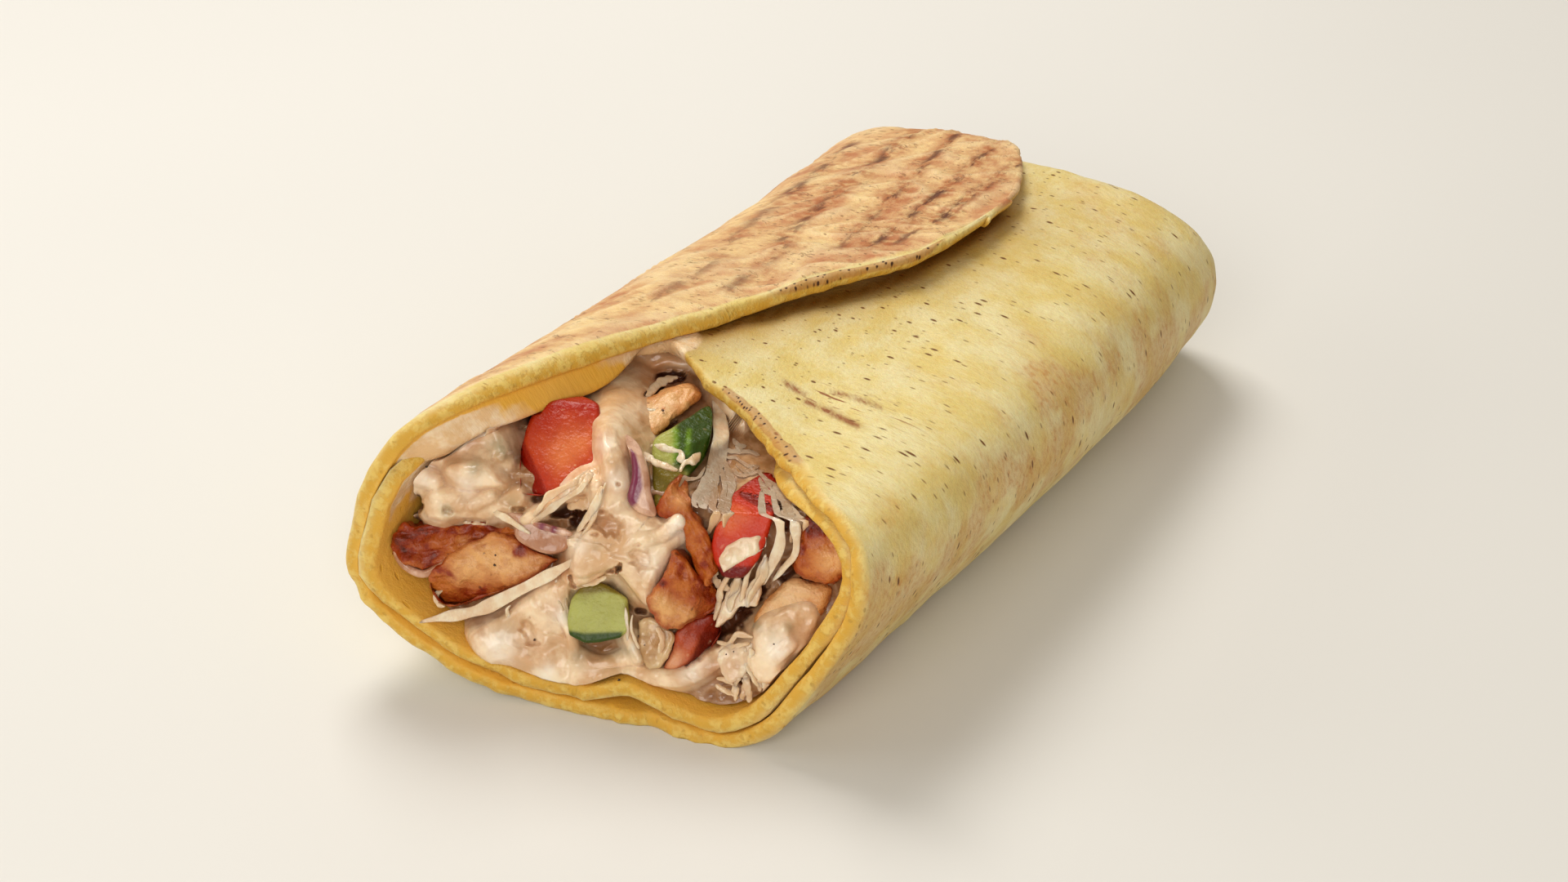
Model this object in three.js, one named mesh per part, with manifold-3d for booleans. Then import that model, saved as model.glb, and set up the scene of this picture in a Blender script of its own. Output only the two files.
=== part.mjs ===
// Gyro wrap: one flatbread rolled nearly twice round chicken, salad and sauce.
// Millimetres, +Z up, +Y from the open mouth to the closed far end.
// The origin lies on the flat underside at mid-length.
import * as THREE from 'three';
import Module from 'manifold-3d';

const wasm = await Module();
wasm.setup();
const { Manifold, Mesh: SolidMesh } = wasm;

// ---------------------------------------------------------------- sizes
const length = 186;            // mouth plane to far end
const capLength = 15;          // rounding of the closed far end
const sheet = 3.4;             // bread thickness
const layerGap = 0.4;          // air between two layers of bread
const pitch = sheet + layerGap;
const sink = 0.5;              // how far the underside is pressed flat
const seamHeight = 8;          // height of the closed slit at the far end
const fit = 0.35;              // air between two pieces of filling
const mid = length / 2;

// Cross-sections of the roll from mouth to far end. Points run from the bottom up the
// right side, over the crown and down the left side, as [x, z].
const stations = [0, 0.33, 0.67, 1];
const outlines = [
  [[8, 0], [28, 0.3], [40, 15], [49, 38], [44, 52.5], [18, 58], [-18, 65.5], [-41, 57.5],
    [-52, 34], [-48, 15], [-22, 2]],
  [[4, 0], [32, 0.3], [44, 11.5], [53, 31], [47, 47], [20, 53.2], [-14, 57], [-39, 51],
    [-51.5, 31], [-45, 13], [-22, 1.5]],
  [[0, 0], [32, 0.3], [46, 8.8], [54, 26], [47, 42.8], [20, 51], [-12, 50.4], [-38, 43.5],
    [-51, 26], [-45, 10], [-24, 0.5]],
  [[0, 0], [30, 0.3], [43.2, 7], [49.6, 21], [44.4, 35.8], [23, 45], [-12, 44.4], [-38, 38],
    [-51, 22], [-45, 8], [-26, 0.5]],
];
const centres = [31, 26, 23, 20];

// The sheet is laid out by its angle round the roll: 90 top, 180 left, 270 bottom, 360 right.
// It starts at the loose flap on top and ends inside, just under the right shoulder.
const flapTip = 64;
const innerEnd = 785;
const frontEdge = [[64, 132], [66, 119.5], [71, 107.5], [82, 96.5], [94, 85.8], [108, 71.2],
  [118, 58], [127, 42], [134, 25], [140, 11], [148, 1], [164, -3.4], [175, -5.4], [187, -7],
  [206, -6.4], [229, -2.8], [258, 1.4], [279, 4.4], [303, 7], [327, 10.4], [343, 13], [361, 16.5],
  [374, 19],
  [382, 21.5], [391, 28], [399, 35], [420, 42], [435, 45], [452, 47], [470, 53], [485, 56],
  [500, 45], [515, 18], [526, 2], [547, -5.4], [566, -4.8], [596, -0.8], [618, 1.4], [639, 3.2],
  [660, 5.8], [675, 8.4], [721, 18],
  [740, 22], [751, 29], [760, 36], [785, 44]];
const backEdge = [[64, 142], [65, 148], [68, 154], [72, 159.5], [77, 165], [83, 169], [90, 172.5], [97, 176.5],
  [104, 181], [112, length], [465, length], [490, 164], [520, 156], [785, 154]];

// ---------------------------------------------------------------- helpers
const clamp = (v, a, b) => Math.min(b, Math.max(a, v));
const smooth = (a, b, v) => {
  const t = clamp((v - a) / (b - a), 0, 1);
  return t * t * (3 - 2 * t);
};
const rad = Math.PI / 180;

function table(rows, v) {
  if (v <= rows[0][0]) return rows[0][1];
  for (let i = 1; i < rows.length; i++) {
    if (v <= rows[i][0]) {
      const [a, p] = rows[i - 1];
      const [b, q] = rows[i];
      return p + (q - p) * (v - a) / (b - a);
    }
  }
  return rows[rows.length - 1][1];
}

// Points on a closed or open smooth curve through the given points.
function curve(points, steps, closed) {
  const out = [];
  const n = points.length;
  const at = (i) => closed ? points[(i + n) % n] : points[clamp(i, 0, n - 1)];
  const spans = closed ? n : n - 1;
  for (let i = 0; i < spans; i++) {
    for (let k = 0; k < steps; k++) {
      const t = k / steps;
      const [a, b, c, d] = [at(i - 1), at(i), at(i + 1), at(i + 2)];
      out.push(b.map((_, j) => 0.5 * (2 * b[j] + (c[j] - a[j]) * t
        + (2 * a[j] - 5 * b[j] + 4 * c[j] - d[j]) * t * t
        + (3 * b[j] - a[j] - 3 * c[j] + d[j]) * t * t * t)));
    }
  }
  if (!closed) out.push([...points[n - 1]]);
  return out;
}

// Smooth repeatable unevenness between -1 and 1.
const wobble = (a, b, c) => Math.sin(a * 1.7 + b * 2.3 + c) * 0.6
  + Math.sin(a * 3.1 - b * 1.3 + c * 1.9) * 0.4;

// ---------------------------------------------------------------- the roll
// Radius of every station outline at each whole degree about its centre.
const radii = outlines.map((outline, s) => {
  const polar = curve(outline, 24, true).map(([x, z]) => {
    const angle = Math.atan2(z - centres[s], x) / rad;
    return [(angle + 360) % 360, Math.hypot(x, z - centres[s])];
  }).sort((p, q) => p[0] - q[0]);
  const last = polar[polar.length - 1];
  const rows = [[last[0] - 360, last[1]], ...polar, [polar[0][0] + 360, polar[0][1]]];
  return Array.from({ length: 361 }, (_, d) => table(rows, d));
});

function stationWeights(y) {
  const v = clamp(y / length, -0.06, 1);
  return stations.map((s, i) => stations.reduce(
    (w, o, j) => j === i ? w : w * (v - o) / (s - o), 1));
}

function rollRadius(angle, weights) {
  const a = ((angle % 360) + 360) % 360;
  const i = Math.floor(a);
  const f = a - i;
  return weights.reduce((r, w, s) => r + w * (radii[s][i] * (1 - f) + radii[s][i + 1] * f), 0);
}

// A point at the given angle, distance along the roll and depth below its outside.
function rollPoint(angle, y, depth) {
  const t = clamp((y - (length - capLength)) / capLength, 0, 1);
  const flat = Math.max((1 - t ** 2.4) ** (1 / 2.4), 0.012);
  const narrow = 0.5 + 0.5 * (1 - t ** 3) ** (1 / 3);
  const weights = stationWeights(y);
  const r = rollRadius(angle, weights);
  const slope = (rollRadius(angle + 0.6, weights) - rollRadius(angle - 0.6, weights))
    / (1.2 * rad * r);
  const inner = r - depth * Math.min(Math.hypot(1, slope), 1.7);
  const cz = weights.reduce((s, w, i) => s + w * centres[i], 0);
  const x = inner * Math.cos(angle * rad) * narrow;
  const z = seamHeight + (cz + inner * Math.sin(angle * rad) - seamHeight) * flat;
  const yy = y - Math.max(0, y - (length - capLength)) * depth / capLength;
  return [x, yy - mid, Math.max(z - sink * (1 - smooth(0, 12, z)), 0)];
}

// The inner layer lifts off the outer one at the bottom of the mouth.
const lens = (angle, y) => {
  const a = ((angle % 360) + 360) % 360;
  const c = clamp((a - 283) / 26, -1, 1);
  return 2.8 * Math.cos(c * Math.PI / 2) ** 2 * (1 - smooth(4, 34, y));
};

// Depth of the sheet's outside at an angle of the roll.
function sheetDepth(angle, y) {
  let d = pitch * (smooth(366, 418, angle) + smooth(726, 778, angle));
  d -= 1.0 * (1 - smooth(flapTip, 110, angle)) * (1 - smooth(138, 166, y));
  // the flap's front edge stands off the layer under it
  if (angle < 114) d -= 1.5 * (1 - smooth(96, 114, angle)) * (1 - smooth(3, 26, y - table(frontEdge, angle)));
  if (angle > 520) d += lens(angle, y);
  return d;
}

// The underside of the loose flap sags on to the filling just behind its front rim.
function sag(angle, y) {
  const start = table(frontEdge, angle);
  const free = clamp(table(frontEdge, angle + 360) - start - 2, 4, 28);
  return 6 * smooth(122, 134, angle) * (1 - smooth(152, 168, angle)) * smooth(0, 6, y - start)
    * (1 - smooth(0.5 * free, 0.95 * free, y - start));
}

function solidFrom(points, faces) {
  const mesh = new SolidMesh({
    numProp: 3,
    vertProperties: new Float32Array(points.flat()),
    triVerts: new Uint32Array(faces.flat()),
  });
  mesh.merge();
  const solid = new Manifold(mesh);
  return solid;
}

// Joins equal rings of points into a closed skin; the ends are filled by the given faces.
function skin(rings, endFaces) {
  const n = rings[0].length;
  const faces = [];
  for (let k = 0; k + 1 < rings.length; k++) {
    for (let i = 0; i < n; i++) {
      const [a, b] = [k * n + i, k * n + (i + 1) % n];
      faces.push([a, b, b + n], [a, b + n, a + n]);
    }
  }
  const last = (rings.length - 1) * n;
  for (const [a, b, c] of endFaces) {
    faces.push([a, c, b], [last + a, last + b, last + c]);
  }
  return solidFrom(rings.flat(), faces);
}

function buildBread() {
  const along = [0, 0.035, 0.08, 0.18, 0.36, 0.58, 0.8, 0.92, 0.955, 0.98, 0.994, 1];
  const n = along.length;
  const angles = [];
  for (let a = flapTip; a < innerEnd; a += a < 110 ? 5 : a < 365 ? 8 : a < 470 ? 6 : 9) angles.push(a);
  angles.push(innerEnd);
  const rings = angles.map((angle) => {
    const y0 = table(frontEdge, angle);
    const y1 = table(backEdge, angle);
    const reach = Math.min(1.3, (y1 - y0) / 4);
    const ys = along.map((v) => y0 + (y1 - y0) * v);
    const outside = ys.map((y) => rollPoint(angle, y, sheetDepth(angle, y)));
    const inside = ys.map((y) => rollPoint(angle, y, sheetDepth(angle, y) + sheet + sag(angle, y)));
    const front = rollPoint(angle, y0 - reach, sheetDepth(angle, y0) + sheet / 2);
    const back = rollPoint(angle, y1, sheetDepth(angle, y1) + sheet / 2);
    if (y1 < length) back[1] += reach;
    return [...outside, back, ...inside.reverse(), front];
  });
  // Ladder across each end of the sheet, from front rim to back rim.
  const ends = [[2 * n + 1, 0, 2 * n], [n - 1, n, n + 1]];
  for (let i = 0; i + 1 < n; i++) ends.push([i, i + 1, 2 * n - i], [i + 1, 2 * n - 1 - i, 2 * n - i]);
  return skin(rings, ends);
}

// ---------------------------------------------------------------- the filling
// The filling is laid out on a slanted face that looks out of the mouth and up: r runs to
// the right along it, u up along it, b out of it. Its origin is inside the mouth.
const faceTurn = 30.35 * rad;
const faceLean = 33.88 * rad;
const faceAt = new THREE.Vector3(0, 14 - mid, 29.5);
const faceR = new THREE.Vector3(Math.cos(faceTurn), Math.sin(faceTurn), 0);
const faceB = new THREE.Vector3(Math.sin(faceTurn) * Math.cos(faceLean),
  -Math.cos(faceTurn) * Math.cos(faceLean), Math.sin(faceLean));
const faceU = new THREE.Vector3().crossVectors(faceB, faceR);
const roof = 46;               // height of the cut pieces under the flap
const heapTop = 44.5;          // height of the shredded heap there

const onFace = (r, u, b) => faceAt.clone().addScaledVector(faceR, r).addScaledVector(faceU, u)
  .addScaledVector(faceB, b).toArray();

// How far out the filling's front lies: a slanted plane, steeper low down where it comes
// forward to the rim, and bent back under the roof.
const frontOut = (r, u) => Math.min(1 + 0.25 * r + 0.4 * u - 0.3 * Math.min(u + 6, 0),
  (roof - faceAt.z - faceU.z * u) / faceB.z);

// Depth of the innermost bread surface below the outside, with a little air.
function roomDepth(angle, y) {
  const a = ((angle - flapTip) % 360 + 360) % 360 + flapTip;
  const end = 2 * pitch * (1 - smooth(66, 84, a));
  const dive = 0.9 * smooth(356, 370, a) * (1 - smooth(412, 424, a));
  const low = [-5, 0, 5].map((da) => [-4, 0, 4].map((dy) => sag(a + da, y + dy))).flat();
  const layer = sheetDepth(a + 360, y) + 0.25 * lens(a, y) + dive;
  return Math.max(layer, end, ...low.map((v) => v * 1.15)) + sheet + 0.5;
}

// The free space inside the roll; the pieces of filling are trimmed to it.
function buildRoom() {
  const ys = [-12, 0, 8, 16, 24, 34, 48, 66, 90, 120];
  const angles = Array.from({ length: 45 }, (_, i) => flapTip + 1 + i * 8);
  const rings = ys.map((y) => angles.map((a) => rollPoint(a, y, roomDepth(a, y))).reverse());
  return skin(rings, fan(angles.length));
}

const fan = (n) => Array.from({ length: n - 2 }, (_, i) => [0, i + 1, i + 2]);

// The heap of shredded cabbage and sauce that fills the roll from end to end.
function buildHeap() {
  const ys = [30, 55, 85, 115, 145, 168, 174, 178];
  const angles = Array.from({ length: 30 }, (_, i) => flapTip + 2 + i * 12);
  const wall = (a, y, extra) => {
    const [x, py, z] = rollPoint(a, y, roomDepth(a, y) + 0.4 + extra);
    return [x, py, Math.min(z, heapTop + 0.6 * wobble(x * 0.2, y * 0.2, 1))];
  };
  const front = angles.map((a) => {
    const [x, , z] = wall(a, 14, 0);
    return wall(a, heapFront(x, z) + mid, 0.2);
  });
  const middle = [-2, 0, 27];
  const shrunk = [0.12, 0.36, 0.6, 0.82].map((k) => front.map(([x, , z], i) => {
    const px = middle[0] + (x - middle[0]) * k;
    const pz = middle[2] + (z - middle[2]) * k;
    return [px, heapFront(px, pz) + 1.1 * wobble(px * 0.45, pz * 0.5, i * 0.01), pz];
  }));
  const body = ys.map((y) => angles.map((a) => wall(a, y, y > 170 ? 1.5 : 0)));
  const rings = [...shrunk, front, ...body].map((ring) => [...ring].reverse());
  return skin(rings, fan(angles.length));
}

const heapFront = (x, z) => faceAt.y + 0.6 + 0.307 * x + 0.218 * (z - faceAt.z)
  - 0.2 * Math.max(0, 22 - z);

// A cut piece: an outline on the face, rounded at the front and running back into the roll.
// grow makes the slightly bigger copy that cuts its seat in its neighbours.
function chunk({ outline, stand = 0, slope = [0.1, 0.1], depth = 14, round = 2.2, rough = 0, grow = 0 }) {
  const n = outline.length;
  const cr = outline.reduce((t, p) => t + p[0], 0) / n;
  const cu = outline.reduce((t, p) => t + p[1], 0) / n;
  const edge = curve(outline, n > 9 ? 1 : 2, true);
  let area = 0;
  edge.forEach(([r, u], i) => {
    const [r2, u2] = edge[(i + 1) % edge.length];
    area += r * u2 - r2 * u;
  });
  if (area < 0) edge.reverse();
  const outward = edge.map((_, i) => {
    const [a, b] = [edge[(i + edge.length - 1) % edge.length], edge[(i + 1) % edge.length]];
    const size = Math.hypot(b[0] - a[0], b[1] - a[1]);
    return [(b[1] - a[1]) / size, (a[0] - b[0]) / size];
  });
  const base = frontOut(cr, cu) + stand;
  const levels = [[-0.7 * round, 0], [-0.2 * round, -0.35 * round], [0, -round], [0, 2 - depth],
    [-0.8, -depth]];
  const flat = levels.map(([inset, b], level) => edge.map(([r, u], i) => {
    const move = inset + grow + rough * 6 * wobble(i * 1.1, level * 1.3, cr);
    const [dr, du] = [r + outward[i][0] * move - cr, u + outward[i][1] * move - cu];
    const out = base + dr * slope[0] + du * slope[1] + b + (level < 3 ? grow : -grow)
      + rough * 8 * wobble(i * 0.9, level, cu);
    return [cr + dr, cu + du, out];
  }));
  const cap = THREE.ShapeUtils.triangulateShape(
    edge.map(([r, u]) => new THREE.Vector2(r, u)).reverse(), []);
  return skin(flat.map((ring) => ring.map((p) => onFace(...p)).reverse()),
    cap.map(([i, j, k]) => [i, k, j]));
}

// A shred or strip along a path of [r, u, stand] points, flat in section. root is how deep
// it reaches into the heap, in half thicknesses.
function strip({ path, width = 3, thick = 1.2, root = 0.5, twist = 0, grow = 0 }) {
  const line = curve(path, path.length > 4 ? 1 : 2, false);
  const centre = line.map(([r, u, s]) => new THREE.Vector3(...onFace(r, u, frontOut(r, u) + s)));
  const rings = centre.map((c, i) => {
    const ahead = centre[Math.min(i + 1, centre.length - 1)].clone()
      .sub(centre[Math.max(i - 1, 0)]).normalize();
    const out = faceB.clone().addScaledVector(ahead, -ahead.dot(faceB)).normalize();
    const side = new THREE.Vector3().crossVectors(ahead, out);
    const turn = twist * i / centre.length;
    const across = side.clone().multiplyScalar(Math.cos(turn)).addScaledVector(out, Math.sin(turn));
    const up = out.clone().multiplyScalar(Math.cos(turn)).addScaledVector(side, -Math.sin(turn));
    const end = i === 0 || i === centre.length - 1 ? 0.55 : 1;
    const w = (width / 2) * end + grow;
    const h = (thick / 2) * (0.5 + 0.5 * end) + grow;
    const shift = i === 0 ? -grow : i === centre.length - 1 ? grow : 0;
    return [[-1, 0.35], [-0.55, 1], [0.55, 1], [1, 0.35], [1, -root], [-1, -root]].map(([a, b]) =>
      c.clone().addScaledVector(ahead, shift).addScaledVector(across, a * w)
        .addScaledVector(up, b * h).toArray());
  });
  return skin(rings, fan(6));
}

const tomato = 0xc8452c;
const chicken = 0xc98a52;
const cucumber = 0x9fb46a;
const onion = 0xb79a94;
const cabbage = 0xdcd2b8;

// Pieces in order from the front; each gives way to those listed before it.
const pieces = [
  ['cabbage_strip_long', strip, cabbage, { width: 2.8, thick: 1.5,
    path: [[-44, -11.2, 3.5], [-38, -10.4, 2.6], [-30, -8.7, 3], [-22, -4.8, 4.2], [-14, -0.6, 4.4],
      [-11, 1.8, 3]] }],
  ['cabbage_strip_upright', strip, cabbage, { width: 3.9, thick: 1.4, twist: 0.3,
    path: [[17.2, 34.6, 0.4], [17.7, 29, 1], [17.2, 23, 1.8], [16.2, 17, 2.4], [15.2, 12.4, 2]] }],
  ['cabbage_piece_front', chunk, cabbage, { stand: 4.2, depth: 3.2, round: 1,
    outline: [[17, 1.6], [19, 4.3], [22, 6], [26.2, 6.2], [26.3, 4.2], [24, 2.7], [20.5, 0.6],
      [18, -1.1]] }],
  ['chicken_center', chunk, chicken, { stand: 6, depth: 15, rough: 0.07, slope: [-0.1, 0.25],
    outline: [[8.5, 3.2], [11, 2], [13, -1], [16, -4], [17.2, -7], [14, -9.2], [11, -11],
      [8, -11.6], [5, -9.5], [4, -6], [6, -3], [7.5, -0.5]] }],
  ['onion_upper', chunk, onion, { stand: 4.6, depth: 7, round: 1.2, slope: [0.1, -0.1],
    outline: [[-0.6, 25.6], [1.8, 23.3], [3.4, 19], [4, 14.5], [4.9, 10.4], [2.5, 10.6],
      [1, 11.6], [-0.1, 13.5], [0.7, 18], [0.2, 22]] }],
  ['pepper_strip', strip, 0xb3b04e, { width: 2.7, thick: 1.6,
    path: [[-0.3, 36, 1.4], [-0.6, 31, 1.6], [-1.6, 27, 2], [-2.8, 23, 2]] }],
  ['cucumber_lower', chunk, cucumber, { stand: 3, depth: 12, round: 1.4, slope: [0.1, -0.25],
    outline: [[-12, -13.6], [-12, -8], [-10, -5], [-7, -2.8], [-4, -4], [0, -6], [0, -12],
      [-2, -14.2], [-6, -14.8], [-9, -14.8]] }],
  ['chicken_middle', chunk, chicken, { stand: 3.2, depth: 13, rough: 0.05,
    outline: [[5.2, 10.6], [7.2, 14.5], [10, 18], [11.7, 13], [13.2, 9.5], [15.4, 4], [15.4, 0],
      [14.4, -1.6], [12.4, 0.8], [11.4, 3], [10.2, 6], [8, 9]] }],
  ['cucumber_upper', chunk, cucumber, { stand: 5, depth: 13, round: 1.2, slope: [0.1, -0.6],
    outline: [[4.8, 25], [8, 27], [11, 29], [14.8, 31], [15.2, 27], [14.4, 22], [12.6, 19],
      [8.6, 15], [5.6, 12], [4.8, 15], [4.6, 20]] }],
  ['tomato_left', chunk, tomato, { stand: 4.5, depth: 16, round: 1.6, slope: [0.1, -0.6],
    outline: [[-21.4, 14.6], [-17.5, 13.8], [-13.5, 15], [-9, 17.5], [-6.4, 21], [-6, 26.5],
      [-6.5, 31.5], [-10, 33.2], [-16, 32.3], [-20, 29.5], [-21.6, 23]] }],
  ['tomato_right', chunk, tomato, { stand: 1.2, depth: 14, round: 1.4,
    outline: [[15.9, 4.5], [16.7, 8], [20, 12.5], [24.5, 17.6], [27, 18.4], [28.6, 15.5],
      [28, 10.5], [26.5, 6], [25.2, 2], [22, -1.7], [18, -1.8], [16.4, 1.5]] }],
  ['tomato_lower', chunk, tomato, { stand: 0.5, depth: 12, round: 1.4,
    outline: [[8.4, -12.6], [13, -9.8], [16, -9.6], [17.5, -12.5], [15, -16], [12, -18.5],
      [9, -20.2], [6.5, -19.8], [7.6, -16]] }],
  ['onion_lower', chunk, onion, { stand: 2, depth: 6, round: 0.9,
    outline: [[1.8, -10.6], [4.2, -10.4], [8, -12.6], [7.6, -15.5], [5.9, -19.8], [3.5, -20],
      [1.5, -17]] }],
  ['cabbage_piece_lower', chunk, cabbage, { stand: 3, depth: 4, round: 1,
    outline: [[20, -2.4], [22.4, -2.6], [25.2, -3.4], [24.4, -7.4], [21.6, -7.4], [18.6, -10.6],
      [16.6, -10], [18, -6.6]] }],
  ['cabbage_piece_corner', chunk, cabbage, { stand: 2.4, depth: 4, round: 1,
    outline: [[17, -16.4], [20, -14.8], [23.8, -14.8], [23.4, -18], [22, -21], [19.5, -22.4],
      [17.2, -20]] }],
  ['chicken_top', chunk, chicken, { stand: 3.5, depth: 12, rough: 0.05, slope: [0, -1],
    outline: [[0.9, 31.5], [3, 33.3], [6, 34.6], [9.8, 35.6], [12, 35.2], [13, 33], [10.5, 30.7],
      [7.5, 28.6], [5, 26.4], [2.2, 26], [0.9, 28]] }],
  ['chicken_right', chunk, chicken, { stand: 1.5, depth: 14, rough: 0.04,
    outline: [[32.6, 7], [35, 11], [38, 10.5], [41, 7.5], [43.5, 4.5], [43.5, 2], [41, -1.2],
      [38.5, -2.8], [34, -1.8], [32, 0], [32.2, 4]] }],
  ['chicken_slab', chunk, chicken, { stand: 1, depth: 16, rough: 0.04,
    outline: [[24.5, -10], [26.4, -6.4], [28.5, -4], [31, -2.6], [34.5, -3], [38, -3.8], [37.5, -8],
      [34, -14], [29, -15], [25, -13]] }],
  ['onion_left', chunk, onion, { stand: 3, depth: 5, round: 1,
    outline: [[-26, 10.6], [-22.5, 8.8], [-22.3, 6.3], [-20, 3.7], [-15, 2.4], [-12.2, 4.5],
      [-12, 6.6], [-17, 8.3], [-19, 9.3], [-22, 10.4]] }],
  ['chicken_left_lower', chunk, chicken, { stand: 2.4, depth: 15, rough: 0.05,
    outline: [[-39.5, -1.5], [-36, 1.7], [-33, 3.7], [-27, 6.2], [-22, 5], [-19, 3], [-15, 1.3],
      [-18.5, -1.2], [-24, -4], [-29, -6], [-36, -7.9], [-39.3, -5]] }],
  ['onion_ring_left', strip, onion, { width: 1.8, thick: 3,
    path: [[-46.6, 2.4, 1.5], [-44.6, -0.2, 1.8], [-41, -1.7, 2], [-38, -0.6, 1.6]] }],
  ['chicken_left_upper', chunk, chicken, { stand: 0.8, depth: 15, rough: 0.05,
    outline: [[-47.6, 5.5], [-46, 8], [-40, 8], [-34, 8.4], [-28, 8.8], [-23.4, 7.8], [-24, 4],
      [-30, 1], [-37, -1], [-42, -0.6], [-45.3, 1], [-47.6, 3.2]] }],
  ['onion_right', strip, 0x5a2038, { width: 2.2, thick: 2.6,
    path: [[36.6, 15, -3], [40, 12.4, -3.6], [42.8, 8.6, -4.4], [43.8, 4.6, -5]] }],
];

// Sauce masses and shreds that are one with the heap.
const lumps = [
  [chunk, { stand: 3, depth: 9, round: 2.5, outline: [[-10, 5], [-6, 10], [-5, 15], [-1.4, 20],
    [1, 14], [4, 10.6], [7.5, 9.4], [11, 11], [11, 5], [8.2, 2.6], [6.6, -1], [5, -5], [2, -7],
    [-1, -4.6], [-4, -2], [-9, -4], [-11.5, 0]] }],
  [chunk, { stand: 2.5, depth: 9, round: 2.5, outline: [[-32, -13], [-26, -10], [-20, -5], [-14, -2],
    [-12.6, -8], [-13, -13], [-10, -15.5], [-2, -16], [0.5, -19], [-4, -21.4], [-12, -23.6],
    [-18, -22.4], [-24, -20], [-28, -19.6], [-31.4, -16.6]] }],
  [chunk, { stand: 2.5, depth: 9, round: 2, outline: [[23.6, -12], [26, -8.6], [30, -8], [33.4, -9.4],
    [33, -14], [31, -17.6], [28, -19.6], [25, -19.6], [23.6, -16]] }],
  [chunk, { stand: 1.5, depth: 14, round: 2, outline: [[-48, 15.5], [-44, 14], [-40, 13.5], [-35, 12.5],
    [-28, 13.5], [-25, 16], [-22, 20], [-23.6, 25.5], [-28, 27.5], [-33, 28], [-40, 25.6],
    [-46, 20]] }],
  [chunk, { stand: 4, depth: 12, round: 2.4, outline: [[-41, 11.4], [-38, 8.8], [-33, 9.2], [-28, 9.6],
    [-25, 11.5], [-26, 14.5], [-24, 16.5], [-28, 20], [-33, 20], [-36, 15]] }],
  [strip, { width: 2.8, thick: 3, root: 4, path: [[-22, -20.5, 0.6], [-14, -22.8, 0.6], [-6, -21.8, 0.6],
    [2, -21.2, 0.6], [9, -21.7, 0.6], [13, -20, 0.8], [16, -18, 0.6]] }],
  [strip, { width: 2.2, thick: 2.2, root: 5, path: [[-21, 9.4, 2], [-14, 13, 3], [-9, 16.5, 3], [-5, 19, 2.4]] }],
  [strip, { width: 2, thick: 2, root: 6, path: [[-4.6, 35, 1], [-4.3, 27, 1.6], [-4.8, 20, 2.4], [-4, 13, 2.6]] }],
  [strip, { width: 3.6, root: 8, path: [[27.6, 20, 1.4], [31, 17.4, 1.6], [34, 14.6, 1.4], [34.6, 11.6, 1]] }],
  [strip, { width: 2.4, root: 9, path: [[29.6, 15, 2.2], [30.6, 10, 2.2], [30, 5, 2.4], [27.4, 0, 2.4],
    [26.6, -3, 1.4]] }],
  [strip, { width: 2.2, root: 9, path: [[19.4, 23.4, 1], [24, 23.4, 1.4], [30, 22.6, 1]] }],
  ...[0, 1, 2].map((i) => [strip, { width: 1.5, root: 6, path: [[20.5 + i * 2.3, -20.5, 1.4],
    [21.2 + i * 2.4, -23.4, 1.4], [22 + i * 2.1, -26, 0.8]] }]),
];

const room = buildRoom();

// The biggest connected part of a solid.
function largest(solid) {
  const split = solid.decompose();
  return split.reduce((a, b) => b.volume() > a.volume() ? b : a);
}

const built = [];
let taken = null;
for (const [name, make, color, shape] of pieces) {
  let solid = make(shape).intersect(room);
  if (taken) solid = solid.subtract(taken);
  const seat = make({ ...shape, grow: fit });
  taken = taken ? taken.add(seat) : seat;
  built.push([name, largest(solid), color, 0.45]);
}
let heap = buildHeap();
for (const [make, shape] of lumps) heap = heap.add(make(shape).intersect(room));
heap = largest(heap.subtract(taken));

const parts = [
  ['flatbread', buildBread(), 0xd9c178, 0.75],
  ['cabbage_heap', heap, 0xdfcbb4, 0.4],
  ...built,
];

function toGeometry(solid) {
  const mesh = solid.getMesh();
  const count = mesh.numProp;
  const position = new Float32Array(mesh.vertProperties.length / count * 3);
  for (let i = 0; i < position.length / 3; i++) {
    for (let j = 0; j < 3; j++) position[i * 3 + j] = mesh.vertProperties[i * count + j];
  }
  const geometry = new THREE.BufferGeometry();
  geometry.setAttribute('position', new THREE.BufferAttribute(position, 3));
  geometry.setIndex(new THREE.BufferAttribute(new Uint32Array(mesh.triVerts), 1));
  geometry.computeVertexNormals();
  return geometry;
}

const group = new THREE.Group();
for (const [name, solid, color, roughness] of parts) {
  const material = new THREE.MeshStandardMaterial({ name: `${name}_surface`, color, roughness });
  const mesh = new THREE.Mesh(toGeometry(solid), material);
  mesh.name = name;
  group.add(mesh);
}

export default group;
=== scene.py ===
# Gyro wrap: one flatbread rolled round chicken, salad and a pale sauce.
# Shapes are worked out in millimetres and become metres in makeMesh.
import itertools
import math

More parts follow.
